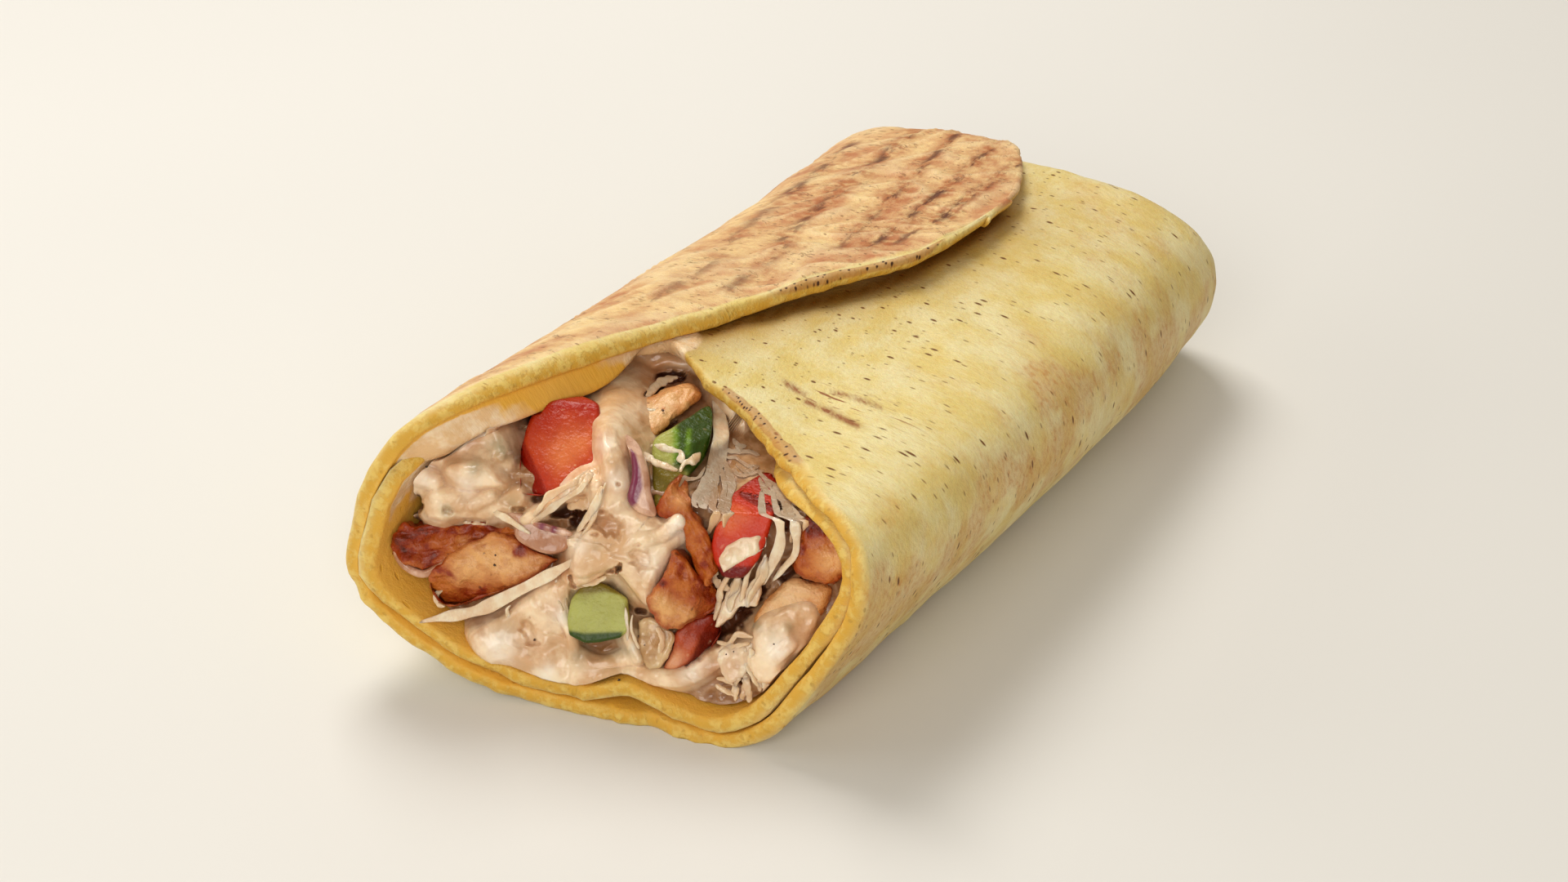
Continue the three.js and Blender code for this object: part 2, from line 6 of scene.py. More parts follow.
import bmesh
import bpy
import numpy as np
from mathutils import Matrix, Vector


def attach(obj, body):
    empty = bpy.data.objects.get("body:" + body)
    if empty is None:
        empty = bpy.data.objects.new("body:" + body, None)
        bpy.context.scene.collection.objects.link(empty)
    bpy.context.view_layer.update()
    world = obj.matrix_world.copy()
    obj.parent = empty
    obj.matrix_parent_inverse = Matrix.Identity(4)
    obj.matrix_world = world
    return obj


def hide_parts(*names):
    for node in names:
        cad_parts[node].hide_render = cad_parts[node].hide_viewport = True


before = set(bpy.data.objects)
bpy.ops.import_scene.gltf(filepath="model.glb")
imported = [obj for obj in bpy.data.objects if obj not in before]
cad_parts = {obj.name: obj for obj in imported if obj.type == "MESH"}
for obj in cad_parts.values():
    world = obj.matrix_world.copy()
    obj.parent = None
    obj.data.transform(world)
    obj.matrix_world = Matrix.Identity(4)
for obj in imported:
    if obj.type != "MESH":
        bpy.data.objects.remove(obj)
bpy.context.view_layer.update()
print("frame loaded:", len(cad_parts), "nodes")

view = {
    "turn": 30.35, "lift": 33.88,              # degrees round and above the mouth
    "distance": 0.74571,
    "target": (0.00018, -0.02045, 0.025),
    "lens": 82.85, "sensor": 36.0,
}


def makeCamera(spec):
    turn, lift = math.radians(spec["turn"]), math.radians(spec["lift"])
    back = Vector((math.sin(turn) * math.cos(lift), -math.cos(turn) * math.cos(lift), math.sin(lift)))
    data = bpy.data.cameras.new("camera")
    data.lens, data.sensor_width = spec["lens"], spec["sensor"]
    data.clip_start, data.clip_end = 0.02, 20
    camera = bpy.data.objects.new("camera", data)
    camera.location = Vector(spec["target"]) + back * spec["distance"]
    camera.rotation_euler = back.to_track_quat("Z", "Y").to_euler()
    bpy.context.collection.objects.link(camera)
    bpy.context.scene.camera = camera


makeCamera(view)
print("camera placed")


# Numbers and curves

# 0 up to low, 1 from high on, and t * t * (3 - 2 * t) between them.
def smoothStep(low, high, value):
    t = np.clip((value - low) / (high - low), 0, 1)
    return t * t * (3 - 2 * t)


# Catmull-Rom curve: a cubic between each two points that leaves along the line of its neighbours.
def smoothCurve(points, steps, closed):
    p = np.asarray(points, float)
    n = len(p)
    spans = n if closed else n - 1
    i = np.repeat(np.arange(spans), steps)
    t = np.tile(np.arange(steps) / steps, spans)[:, None]
    a, b, c, d = (p[(i + k) % n] if closed else p[np.clip(i + k, 0, n - 1)] for k in (-1, 0, 1, 2))
    out = 0.5 * (2 * b + (c - a) * t + (2 * a - 5 * b + 4 * c - d) * t**2 + (3 * b - a - 3 * c + d) * t**3)
    return out if closed else np.vstack([out, p[-1:]])


# Points at the given shares of a polyline's length.
def atShares(line, shares):
    gaps = np.linalg.norm(np.diff(line, axis=0), axis=1)
    run = np.concatenate([[0], np.cumsum(gaps)])
    return np.stack([np.interp(shares * run[-1], run, line[:, k]) for k in range(line.shape[1])], -1)


# Value noise, -1 to 1: random numbers on a lattice, blended smoothly between its corners.
def lumps(points, size, seed):
    lattice = np.random.default_rng(seed).uniform(-1, 1, (32, 32, 32))
    q = points / np.asarray(size, float) + 512
    cell = np.floor(q).astype(int)
    f = q - cell
    f = f * f * (3 - 2 * f)
    total = np.zeros(points.shape[:-1])
    for corner in itertools.product((0, 1), repeat=3):
        weight = np.prod(np.where(corner, f, 1 - f), axis=-1)
        x, y, z = np.moveaxis((cell + corner) % 32, -1, 0)
        total += weight * lattice[x, y, z]
    return total


# For points measured from the start of a straight line: the share of it, 0 to 1, at which each is
# nearest, and the distance from there.
def nearestOn(right, up, span):
    share = np.clip((right * span[0] + up * span[1]) / (span[0]**2 + span[1]**2), 0, 1)
    return share, np.hypot(right - share * span[0], up - share * span[1])


# Signed distance from points to a closed outline, positive inside, where a line out to the right
# crosses the outline an odd number of times.
def insideBy(r, u, outline):
    best = np.full(r.shape, np.inf)
    crossings = np.zeros(r.shape, int)
    for start, stop in zip(outline, np.roll(outline, -1, axis=0)):
        span = stop - start
        best = np.minimum(best, nearestOn(r - start[0], u - start[1], span)[1])
        rises = (start[1] > u) != (stop[1] > u)
        slope = span[0] / (span[1] if span[1] else 1e-9)
        crossings += rises & (r < start[0] + (u - start[1]) * slope)
    return np.where(crossings % 2 == 1, best, -best)


# The roll that everything is laid out on

roll = {
    "length": 186.0, "cap": 15.0, "seam": 8.0, "sink": 0.5,
    "arc": 0.66,                               # mm round the outside per degree
    "sheet": 3.4, "pitch": 3.8, "flapSag": 6.0, "flapRise": 1.5,
    "flapTip": 64.0, "innerEnd": 785.0,        # degrees: 90 top, 180 left, 270 bottom, 360 right
    "stations": [0, 0.33, 0.67, 1],
    "centres": [31, 26, 23, 20],
    "outlines": [                              # cross-sections from mouth to far end, [x, z]
        [[8, 0], [28, 0.3], [40, 15], [49, 38], [44, 52.5], [18, 58], [-18, 65.5], [-41, 57.5],
         [-52, 34], [-48, 15], [-22, 2]],
        [[4, 0], [32, 0.3], [44, 11.5], [53, 31], [47, 47], [20, 53.2], [-14, 57], [-39, 51],
         [-51.5, 31], [-45, 13], [-22, 1.5]],
        [[0, 0], [32, 0.3], [46, 8.8], [54, 26], [47, 42.8], [20, 51], [-12, 50.4], [-38, 43.5],
         [-51, 26], [-45, 10], [-24, 0.5]],
        [[0, 0], [30, 0.3], [43.2, 7], [49.6, 21], [44.4, 35.8], [23, 45], [-12, 44.4], [-38, 38],
         [-51, 22], [-45, 8], [-26, 0.5]],
    ],
    "frontEdge": [                             # how far along the roll the sheet starts, by angle
        [64, 132], [66, 119.5], [71, 107.5], [82, 96.5], [94, 85.8], [108, 71.2], [118, 58], [127, 42],
        [134, 25], [140, 11], [148, 1], [164, -3.4], [175, -5.4], [187, -7], [206, -6.4],
        [229, -2.8], [258, 1.4], [279, 4.4], [303, 7], [327, 10.4], [343, 13], [361, 16.5],
        [374, 19], [382, 21.5], [391, 28], [399, 35], [420, 42], [435, 45], [452, 47], [470, 53],
        [485, 56], [500, 45], [515, 18], [526, 2], [547, -5.4], [566, -4.8], [596, -0.8],
        [618, 1.4], [639, 3.2], [660, 5.8], [675, 8.4],
        [721, 18], [740, 22], [751, 29], [760, 37], [768, 46], [785, 68],
    ],
    "backEdge": [[64, 142], [65, 148], [68, 154], [72, 159.5], [77, 165], [83, 169], [90, 172.5],
                 [97, 176.5], [104, 181], [112, 186], [465, 186], [490, 164], [520, 156], [785, 154]],
}
rollMiddle = roll["length"] / 2
firstTurnEnd = roll["flapTip"] + 360           # the angle past which the sheet lies inside itself


# How far along the roll the sheet's front or back edge lies at an angle.
def edgeAt(edge, angle):
    return np.interp(angle, *np.array(roll[edge], float).T)


# Radius of each station's outline at each whole degree, eased a little so that no facets show.
def polarTables():
    kernel = np.array([1, 2, 3, 2, 1]) / 9
    tables = []
    for outline, height in zip(roll["outlines"], roll["centres"]):
        line = smoothCurve(outline, 24, True) - [0, height]
        angle = np.degrees(np.arctan2(line[:, 1], line[:, 0])) % 360
        order = np.argsort(angle)
        radius = np.interp(np.arange(360), angle[order], np.hypot(*line[order].T), period=360)
        tables.append(sum(w * np.roll(radius, k - 2) for k, w in enumerate(kernel)))
    return tables


radiusTables = polarTables()


# Share of each station at y: a cubic that is 1 there and 0 at the other three.
def stationWeights(y):
    v = np.clip(y / roll["length"], -0.06, 1)
    stations = roll["stations"]
    return [np.prod([(v - o) / (s - o) for o in stations if o != s], axis=0) for s in stations]


# The stations' radii at an angle, each times its share, summed.
def rollRadius(angle, y):
    return sum(w * np.interp(angle % 360, np.arange(360), table, period=360)
               for w, table in zip(stationWeights(y), radiusTables))


# The heights of the stations' centres, summed in the same way.
def centreHeight(y):
    return sum(w * c for w, c in zip(stationWeights(y), roll["centres"]))


# A point at an angle, a distance along the roll and a depth below its outside: the station
# radii blended by a cubic, closed at the far end to a slit and pressed flat underneath.
def rollPoint(angle, y, depth):
    angle, y, depth = np.broadcast_arrays(np.asarray(angle, float), y, depth)
    past = np.clip(y - roll["length"] + roll["cap"], 0, roll["cap"])
    t = past / roll["cap"]
    flat = np.maximum((1 - t**2.4) ** (1 / 2.4), 0.012)
    narrow = 0.5 + 0.5 * (1 - t**3) ** (1 / 3)
    radius = rollRadius(angle, y)
    slope = (rollRadius(angle + 0.6, y) - rollRadius(angle - 0.6, y)) / (math.radians(1.2) * radius)
    inner = radius - depth * np.minimum(np.hypot(1, slope), 1.7)
    turn = np.radians(angle)
    x = inner * np.cos(turn) * narrow
    z = roll["seam"] + (centreHeight(y) + inner * np.sin(turn) - roll["seam"]) * flat
    z = np.maximum(z - roll["sink"] * (1 - smoothStep(0, 12, z)), 0)
    return np.stack([x, y - t * depth - rollMiddle, z], -1)


# The inner layer lifts off the outer one at the bottom of the mouth.
def mouthLift(angle, y):
    c = np.clip((angle % 360 - 283) / 26, -1, 1)
    return 2.8 * np.cos(c * np.pi / 2) ** 2 * (1 - smoothStep(4, 34, y))


# Depth of the sheet's outside below the roll's: it goes in by one pitch at the end of each turn,
# and the tip and the front of the flap stand a little proud.
def sheetDepth(angle, y):
    depth = roll["pitch"] * (smoothStep(366, 418, angle) + smoothStep(726, 778, angle))
    depth = depth - 1.0 * (1 - smoothStep(roll["flapTip"], 110, angle)) * (1 - smoothStep(138, 166, y))
    behind = y - edgeAt("frontEdge", angle)
    depth = depth - roll["flapRise"] * (1 - smoothStep(96, 114, angle)) * (1 - smoothStep(3, 26, behind))
    return depth + np.where(angle > 520, mouthLift(angle, y), 0)


# The underside of the loose flap sags on to the filling just behind its front rim.
def flapSag(angle, y):
    behind = y - edgeAt("frontEdge", angle)
    free = np.clip(edgeAt("frontEdge", angle + 360) - edgeAt("frontEdge", angle) - 2, 4, 28)
    across = smoothStep(122, 134, angle) * (1 - smoothStep(152, 168, angle))
    return roll["flapSag"] * across * smoothStep(0, 6, behind) * (1 - smoothStep(0.5, 0.95, behind / free))


# Depth of the innermost bread below the outside of the roll.
def roomDepth(angle, y):
    a = (angle - roll["flapTip"]) % 360 + roll["flapTip"]
    end = 2 * roll["pitch"] * (1 - smoothStep(66, 84, a))
    layer = sheetDepth(a + 360, y) + 0.25 * mouthLift(a, y)
    return np.maximum(np.maximum(layer, end), flapSag(a, y)) + roll["sheet"] + 0.5


# Points outside the roll's inner wall are drawn in to it, towards the roll's centre line.
def pressIntoRoll(points, air=0.0):
    x, y, z = np.moveaxis(points, -1, 0)
    along = y + rollMiddle
    height = centreHeight(along)
    angle = np.degrees(np.arctan2(z - height, x))
    wall = rollPoint(angle, along, roomDepth(angle, along) + air)
    limit = np.hypot(wall[..., 0], wall[..., 2] - height)
    share = np.minimum(1, limit / np.maximum(np.hypot(x, z - height), 1e-6))
    return np.stack([x * share, y, height + (z - height) * share], -1), share


# The filling is laid out on a slanted face: r to the right along it, u up along it, b out of it.
face = {"turn": 30.35, "lean": 33.88, "at": (0, 14 - rollMiddle, 29.5), "roof": 46}
faceTurn, faceLean = math.radians(face["turn"]), math.radians(face["lean"])
faceRight = np.array([math.cos(faceTurn), math.sin(faceTurn), 0])
faceOut = np.array([math.sin(faceTurn) * math.cos(faceLean), -math.cos(faceTurn) * math.cos(faceLean),
                    math.sin(faceLean)])
faceUp = np.cross(faceOut, faceRight)


def onFace(r, u, b):
    return (np.asarray(face["at"]) + np.asarray(r)[..., None] * faceRight
            + np.asarray(u)[..., None] * faceUp + np.asarray(b)[..., None] * faceOut)


# How far out the filling's front lies: a slanted plane, steeper low down where it comes
# forward to the rim, and bent back under the flap.
def frontOut(r, u):
    return np.minimum(1 + 0.25 * r + 0.4 * u - 0.3 * np.minimum(u + 6, 0),
                      (face["roof"] - face["at"][2] - faceUp[2] * u) / faceOut[2])


# Meshes

# Outward normals of a grid of points from the cross product of its two directions.
def gridNormals(points, closed):
    rows = np.gradient(points, axis=0)
    if closed:
        columns = (np.roll(points, -1, axis=1) - np.roll(points, 1, axis=1)) / 2
    else:
        columns = np.gradient(points, axis=1)
    normals = np.cross(rows, columns)
    return normals / np.maximum(np.linalg.norm(normals, axis=-1, keepdims=True), 1e-9)


# Quads between neighbouring rows and columns; the columns close on themselves when asked.
def gridFaces(rows, columns, closed):
    i, j = np.meshgrid(np.arange(rows - 1), np.arange(columns if closed else columns - 1), indexing="ij")
    k = (j + 1) % columns
    return np.stack([i * columns + j, i * columns + k, (i + 1) * columns + k, (i + 1) * columns + j],
                    -1).reshape(-1, 4)


# 1 where a grid's own normal at a row and column looks the given way, and -1 where it looks back.
def gridSide(points, row, column, away):
    normal = gridNormals(points[row - 1:row + 2, column - 1:column + 2], False)[1, 1]
    return np.sign(normal @ away)


poleGap = 2e-6                                 # metres: points of a closed end nearer than this become one


# An object from points in mm and faces; the masks become attributes, and uv a map named sheet.
def makeMesh(name, points, faces, masks=None, uv=None, merge=0.0):
    vertices = points.reshape(-1, 3) * 0.001
    mesh = bpy.data.meshes.new(name)
    mesh.vertices.add(len(vertices))
    mesh.vertices.foreach_set("co", vertices.ravel())
    mesh.loops.add(faces.size)
    mesh.loops.foreach_set("vertex_index", faces.ravel())
    mesh.polygons.add(len(faces))
    mesh.polygons.foreach_set("loop_start", np.arange(0, faces.size, faces.shape[1]))
    mesh.update(calc_edges=True)
    for label, values in (masks or {}).items():
        layer = mesh.attributes.new(label, "FLOAT", "POINT")
        layer.data.foreach_set("value", np.broadcast_to(values, points.shape[:-1]).ravel())
    if uv is not None:
        layer = mesh.uv_layers.new(name="sheet")
        layer.uv.foreach_set("vector", uv.reshape(-1, 2)[faces.ravel()].ravel())
    work = bmesh.new()
    work.from_mesh(mesh)
    if merge:
        bmesh.ops.remove_doubles(work, verts=work.verts, dist=merge)
        bmesh.ops.dissolve_degenerate(work, edges=work.edges, dist=1e-7)
    bmesh.ops.recalc_face_normals(work, faces=work.faces)
    work.to_mesh(mesh)
    work.free()
    mesh.validate()
    mesh.shade_smooth()
    piece = bpy.data.objects.new(name, mesh)
    bpy.context.collection.objects.link(piece)
    return piece


def settle(piece, finish, slot, *replaced):    # finish, body, slot and replaced nodes of a piece; slot is not used
    piece.data.materials.append(finish)
    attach(piece, "root")
    if replaced:
        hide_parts(*replaced)


# Shader building blocks

def tone(red, green, blue):                    # a colour as seen on screen, 0 to 255
    c = np.array([red, green, blue]) / 255
    return (*np.where(c <= 0.04045, c / 12.92, ((c + 0.055) / 1.055) ** 2.4), 1.0)


def addNode(tree, kind, inputs=None, **settings):
    node = tree.nodes.new("ShaderNode" + kind)
    for key, value in settings.items():
        setattr(node, key, value)
    for key, value in (inputs or {}).items():
        if isinstance(value, bpy.types.NodeSocket):
            tree.links.new(value, node.inputs[key])
        else:
            node.inputs[key].default_value = value
    return node


def calc(tree, operation, first, second=0.5, third=0.0):
    return addNode(tree, "Math", {0: first, 1: second, 2: third}, operation=operation).outputs[0]


def times(tree, first, *others):               # all of them multiplied
    for other in others:
        first = calc(tree, "MULTIPLY", first, other)
    return first


def scaled(tree, value, factor, plus):         # value * factor + plus
    return calc(tree, "MULTIPLY_ADD", value, factor, plus)


def remap(tree, value, low, high, toLow=0.0, toHigh=1.0):
    return addNode(tree, "MapRange", {"Value": value, "From Min": low, "From Max": high,
                                      "To Min": toLow, "To Max": toHigh},
                   interpolation_type="SMOOTHSTEP").outputs["Result"]


def blendColor(tree, factor, first, second):
    return addNode(tree, "Mix", {0: factor, 6: first, 7: second}, data_type="RGBA",
                   blend_type="MIX").outputs[2]


def lay(tree, color, shade, *shares):          # a shade over a colour, as strong as the shares multiplied
    return blendColor(tree, times(tree, *shares), color, shade)


def mask(tree, label):
    return addNode(tree, "Attribute", attribute_name=label).outputs["Fac"]


def newGroup(name, inputs, outputs):
    group = bpy.data.node_groups.new(name, "ShaderNodeTree")
    for label, kind, value in inputs:
        socket = group.interface.new_socket(name=label, in_out="INPUT", socket_type=kind)
        if value is not None:
            socket.default_value = value
    for label, kind in outputs:
        group.interface.new_socket(name=label, in_out="OUTPUT", socket_type=kind)
    return group, group.nodes.new("NodeGroupInput").outputs, group.nodes.new("NodeGroupOutput").inputs


# Uneven patches: noise pushed towards nothing or everything.
def buildPatches():
    group, given, out = newGroup("patches", [
        ("Vector", "NodeSocketVector", None), ("Scale", "NodeSocketFloat", 100.0),
        ("Detail", "NodeSocketFloat", 3.0), ("From", "NodeSocketFloat", 0.4),
        ("To", "NodeSocketFloat", 0.6)], [("Mask", "NodeSocketFloat")])
    noise = addNode(group, "TexNoise", {"Vector": given["Vector"], "Scale": given["Scale"],
                                        "Detail": given["Detail"], "Roughness": 0.6})
    group.links.new(remap(group, noise.outputs["Fac"], given["From"], given["To"]), out["Mask"])
    return group


# Small separate flecks: the middle of some cells of a cell pattern.
def buildFlecks():
    group, given, out = newGroup("flecks", [
        ("Vector", "NodeSocketVector", None), ("Scale", "NodeSocketFloat", 200.0),
        ("Size", "NodeSocketFloat", 0.2), ("Share", "NodeSocketFloat", 0.4)],
        [("Mask", "NodeSocketFloat")])
    wobble = addNode(group, "TexNoise", {"Vector": given["Vector"], "Scale": given["Scale"], "Detail": 1.0})
    bent = addNode(group, "VectorMath", {0: wobble.outputs["Color"], 1: (0.0016, 0.0016, 0.0016)},
                   operation="MULTIPLY")
    moved = addNode(group, "VectorMath", {0: given["Vector"], 1: bent.outputs[0]}, operation="ADD")
    cells = addNode(group, "TexVoronoi", {"Vector": moved.outputs[0], "Scale": given["Scale"]})
    dot = remap(group, cells.outputs["Distance"], times(group, given["Size"], 0.45),
                given["Size"], 1.0, 0.0)
    pick = addNode(group, "SeparateColor", {"Color": cells.outputs["Color"]}).outputs["Red"]
    kept = calc(group, "LESS_THAN", pick, given["Share"])
    group.links.new(times(group, dot, kept), out["Mask"])
    return group


# Height of a fine soft grain for the Bump node.
def buildGrain():
    group, given, out = newGroup("grain", [
        ("Vector", "NodeSocketVector", None), ("Scale", "NodeSocketFloat", 400.0)],
        [("Height", "NodeSocketFloat")])
    coarse = addNode(group, "TexNoise", {"Vector": given["Vector"], "Scale": given["Scale"], "Detail": 4.0})
    fine = addNode(group, "TexNoise", {
        "Vector": given["Vector"], "Scale": times(group, given["Scale"], 3.3), "Detail": 2.0})
    group.links.new(scaled(group, fine.outputs["Fac"], 0.35, coarse.outputs["Fac"]), out["Height"])
    return group


patchesGroup, flecksGroup, grainGroup = buildPatches(), buildFlecks(), buildGrain()


def useGroup(tree, group, **values):
    return addNode(tree, "Group", values, node_tree=group).outputs[0]


def patchMask(tree, vector, scale, detail, low, high):
    return useGroup(tree, patchesGroup, Vector=vector, Scale=scale, Detail=detail, From=low, To=high)


def fleckMask(tree, vector, scale, size, share):
    return useGroup(tree, flecksGroup, Vector=vector, Scale=scale, Size=size, Share=share)


def grainHeight(tree, vector, scale):
    return useGroup(tree, grainGroup, Vector=vector, Scale=scale)


def newFinish(name, roughness, coat=0.0, coatRoughness=0.2, specular=0.5, subsurface=0.0,
              radius=(1.2, 0.6, 0.3)):
    finish = bpy.data.materials.new(name)
    finish.use_nodes = True
    tree = finish.node_tree
    shader = tree.nodes["Principled BSDF"]
    for label, value in (("Roughness", roughness), ("Specular IOR Level", specular), ("Coat Weight", coat),
                         ("Coat Roughness", coatRoughness), ("Subsurface Weight", subsurface),
                         ("Subsurface Radius", radius), ("Subsurface Scale", 0.001)):
        shader.inputs[label].default_value = value
    return finish, tree, shader


def stretched(tree, vector, scale):
    return addNode(tree, "Mapping", {"Vector": vector, "Scale": scale}).outputs[0]


def objectCoords(tree):
    return addNode(tree, "TexCoord").outputs["Object"]


def setBump(tree, shader, height, strength, distance):
    bump = addNode(tree, "Bump", {"Strength": strength, "Distance": distance, "Height": height})
    tree.links.new(bump.outputs["Normal"], shader.inputs["Normal"])


# Bread

bread = {
    "outerStep": 1.25, "innerStep": 4.0,       # degrees between rows
    "outerColumns": 180, "innerColumns": 44, "rimColumns": 11, "endRows": 5,
    "rimReach": 1.3, "edgeWander": 0.6,
    "puff": 0.30, "dimples": 0.10, "flapWrinkle": 0.42,    # relief of the skin
    "wrinkleSize": 4.4,
    "wrinkleLean": [(0.41, 0.91), (0.87, 0.49)],           # along and round the roll: far off, at the mouth
    "markArc": 0.7, "noiseArc": 0.75,          # mm round the sheet per degree, for marks and for relief
    "uvPerDegree": 0.0075, "uvPerMm": 0.01,
    "pale": tone(233, 221, 168), "golden": tone(224, 202, 126), "toast": tone(190, 116, 46),
    # the first two tones on the next line are painted shadow below the flap's edge, the second its darkest
    # part right under it
    "flapShadowTone": tone(160, 112, 14), "tucked": tone(92, 46, 4), "streak": tone(150, 92, 50),
    "flapPink": tone(190, 124, 82), "flapCream": tone(234, 202, 144), "flapHighlight": tone(240, 216, 166),
    "singed": tone(170, 96, 48),
    "char": tone(92, 48, 30), "inner": tone(232, 172, 56), "rim": tone(206, 160, 58),
    "rimPale": tone(220, 190, 102), "pore": tone(160, 118, 40), "fleck": tone(108, 58, 4),
    "burnt": tone(60, 28, 8), "smear": tone(228, 190, 144), "smearPale": tone(244, 222, 190),
    "toastSpots": [                            # angle, y, degrees wide, mm long, strength
        [378, 94, 9, 9, 1.0], [370, 86, 9, 22, 0.8], [366, 118, 14, 26, 0.5], [364, 50, 12, 30, 0.8],
        [358, 18, 12, 22, 0.95],
        [372, 150, 20, 26, 0.4],
        [340, 40, 26, 30, 0.5], [318, 30, 18, 22, 0.8], [352, 150, 18, 40, 0.6], [395, 165, 24, 14, 0.45],
        [300, 80, 40, 60, 0.5], [220, 100, 30, 60, 0.5], [180, 150, 30, 30, 0.4],
    ],
    "streaks": [                               # angle, y, angle, y, width
        [416.5, 54.5, 408, 54.5, 0.8], [408, 54.5, 399.5, 52.6, 0.95], [430, 57, 419.6, 56.2, 0.8],
        [412, 60.4, 399.6, 61.5, 0.65],
    ],
    "scratches": [415, 58, 396, 60, 3.6],      # where finer ones lie beside it
    "grillWidth": 1.5, "haloWidth": 3.4,
    "grillRows": [                             # angle, y, angle, y, strength: lines burnt on to the flap
        [75, 164, 77, 130, 1.0], [77, 130, 82, 112, 0.8], [95, 170, 90, 140, 0.9], [90, 140, 89.5, 106, 1.0],
        [118, 172, 107, 133, 0.9], [107, 133, 100, 104, 0.6], [136, 172, 130, 134, 1.0],
        [130, 134, 124, 104, 0.8], [151, 164, 145, 132, 0.8], [145, 132, 138, 100, 0.5],
        [118, 100, 116, 76, 0.6], [132, 92, 131, 62, 0.5],
    ],
    "smears": [                                # angle, how much sauce clings to the underside there
        [96, 0.0], [106, 0.8], [114, 1.0], [124, 1.0], [127, 0.7], [130, 0.12], [136, 0.12], [140, 0.5],
        [144, 1.0], [176, 1.1], [184, 0.3], [190, 0.0], [494, 0.0], [500, 1.0], [518, 1.1], [526, 0.7],
        [536, 0.35], [548, 0.0],
    ],
    "flapLimit": [[0, 152], [30, 156], [60, 158], [105, 164], [140, 174]],    # y, angle where it ends
    "paleBand": [[62, 7.0], [80, 5.4], [95, 3.6], [120, 2.4]],                # angle, width at its edge
    "flapShadowReach": 9.5, "flapShadowEnd": 140,    # reach in mm of the painted shadow below the flap's edge, and the angle where it ends
}


def breadRows():
    end = roll["innerEnd"]
    outer = np.arange(roll["flapTip"], firstTurnEnd, bread["outerStep"])
    inner = np.linspace(firstTurnEnd, end, int((end - firstTurnEnd) / bread["innerStep"]))
    return np.concatenate([outer, inner])


# The front edge with a slow and a quick waver added to it.
def waveringFront(angle):
    spot = np.stack([angle * bread["noiseArc"], angle * 0, angle * 0], -1)
    return edgeAt("frontEdge", angle) + bread["edgeWander"] * (lumps(spot, 7, 3) + 0.6 * lumps(spot, 2.5, 4))


# Slope of an edge: mm along the roll for each mm round it, from two places a little way apart.
def edgeSlope(edge, angle, reach=1.6):
    return (edgeAt(edge, angle + reach) - edgeAt(edge, angle - reach)) / (2 * reach * roll["arc"])


# The sheet's closed profile (outside, back rim, inside, front rim) carried round the roll.
# A rim is half a rounded bar; each end of the sheet is rounded by rows that thin to its middle.
def breadGrid():
    angles = breadRows()
    lead = np.radians(np.linspace(84, 12, bread["endRows"]))
    tipLean = -np.degrees(0.5 * roll["sheet"] * np.sin(lead) / 36)
    rows = np.concatenate([angles[0] + tipLean, angles, angles[-1] - tipLean[::-1]])
    thin = np.concatenate([np.cos(lead), np.ones(len(angles)), np.cos(lead[::-1])])[:, None]
    y0 = waveringFront(rows)
    # on the left the two layers' rims are pressed into one
    turn = (rows - 120) % 360 + 120
    joined = smoothStep(150, 162, turn) * (1 - smoothStep(190, 206, turn))
    y0 = np.where(rows > firstTurnEnd, y0 + joined * (waveringFront(rows - 360) - y0), y0)[:, None]
    y1 = edgeAt("backEdge", rows)[:, None]
    t = np.linspace(0, 1, bread["outerColumns"])
    vOut = 0.8 * t + 0.2 * t**2
    t = np.linspace(1, 0, bread["innerColumns"])
    vIn = 0.35 * t + 0.65 * t**3
    bend = np.radians(np.linspace(-90, 90, bread["rimColumns"] + 2)[1:-1])
    # each rim stands out square to its edge
    m0, m1 = (edgeSlope(edge, rows)[:, None] for edge in ("frontEdge", "backEdge"))
    square0, square1 = 1 / np.sqrt(1 + m0**2), 1 / np.sqrt(1 + m1**2)
    reach = np.minimum(bread["rimReach"], (y1 - y0) / 4)
    nose = np.cos(bend) ** 0.9
    flush = np.where(rows[:, None] < firstTurnEnd, bend < 0, bend > 0) * joined[:, None]
    ahead = reach * (nose + (1 - nose) * flush)
    back = reach * np.where(y1 < roll["length"], 1.0, 0.0) * np.cos(bend)
    y = np.concatenate([y0 + (y1 - y0) * vOut, y1 + back * square1,
                        y0 + (y1 - y0) * vIn, y0 - ahead * square0], axis=1)
    lean = np.concatenate([0 * (y0 + vOut), -back * m1 * square1 / roll["arc"],
                           0 * (y0 + vIn), ahead * m0 * square0 / roll["arc"]], axis=1)
    level = np.concatenate([np.zeros(len(vOut)), 0.5 + 0.5 * np.sin(bend), np.ones(len(vIn)),
                            0.5 - 0.5 * np.sin(bend)])[None, :]
    level = level + np.pad(np.sign(-bend) * 0.06 * flush, ((0, 0), (level.shape[1] - len(bend), 0)))
    rim = np.concatenate([np.zeros(len(vOut) + len(bend) + len(vIn)), np.cos(bend)])[None, :]
    angle = rows[:, None] + lean
    level = 0.5 + (level - 0.5) * thin + 0 * y
    base = sheetDepth(angle, np.maximum(y, y0))
    points = rollPoint(angle, y, base + (roll["sheet"] + flapSag(angle, y)) * level)
    return points, angle, y, level, rim + 0 * y, y0


# Bell curve: 1 in the middle, and exp(-(distance / width) squared) beside it.
def gaussian(value, middle, width):
    return np.exp(-((value - middle) / width) ** 2)


# Distance on the sheet, in mm, from the straight line between two places given by angle and y.
def lineGap(angle, y, angle0, y0, angle1, y1):
    span = (angle1 - angle0) * bread["markArc"], y1 - y0
    return nearestOn((angle - angle0) * bread["markArc"], y - y0, span)[1]


# A bell curve across such a line.
def nearLine(angle, y, angle0, y0, angle1, y1, width):
    return gaussian(lineGap(angle, y, angle0, y0, angle1, y1), 0, width)


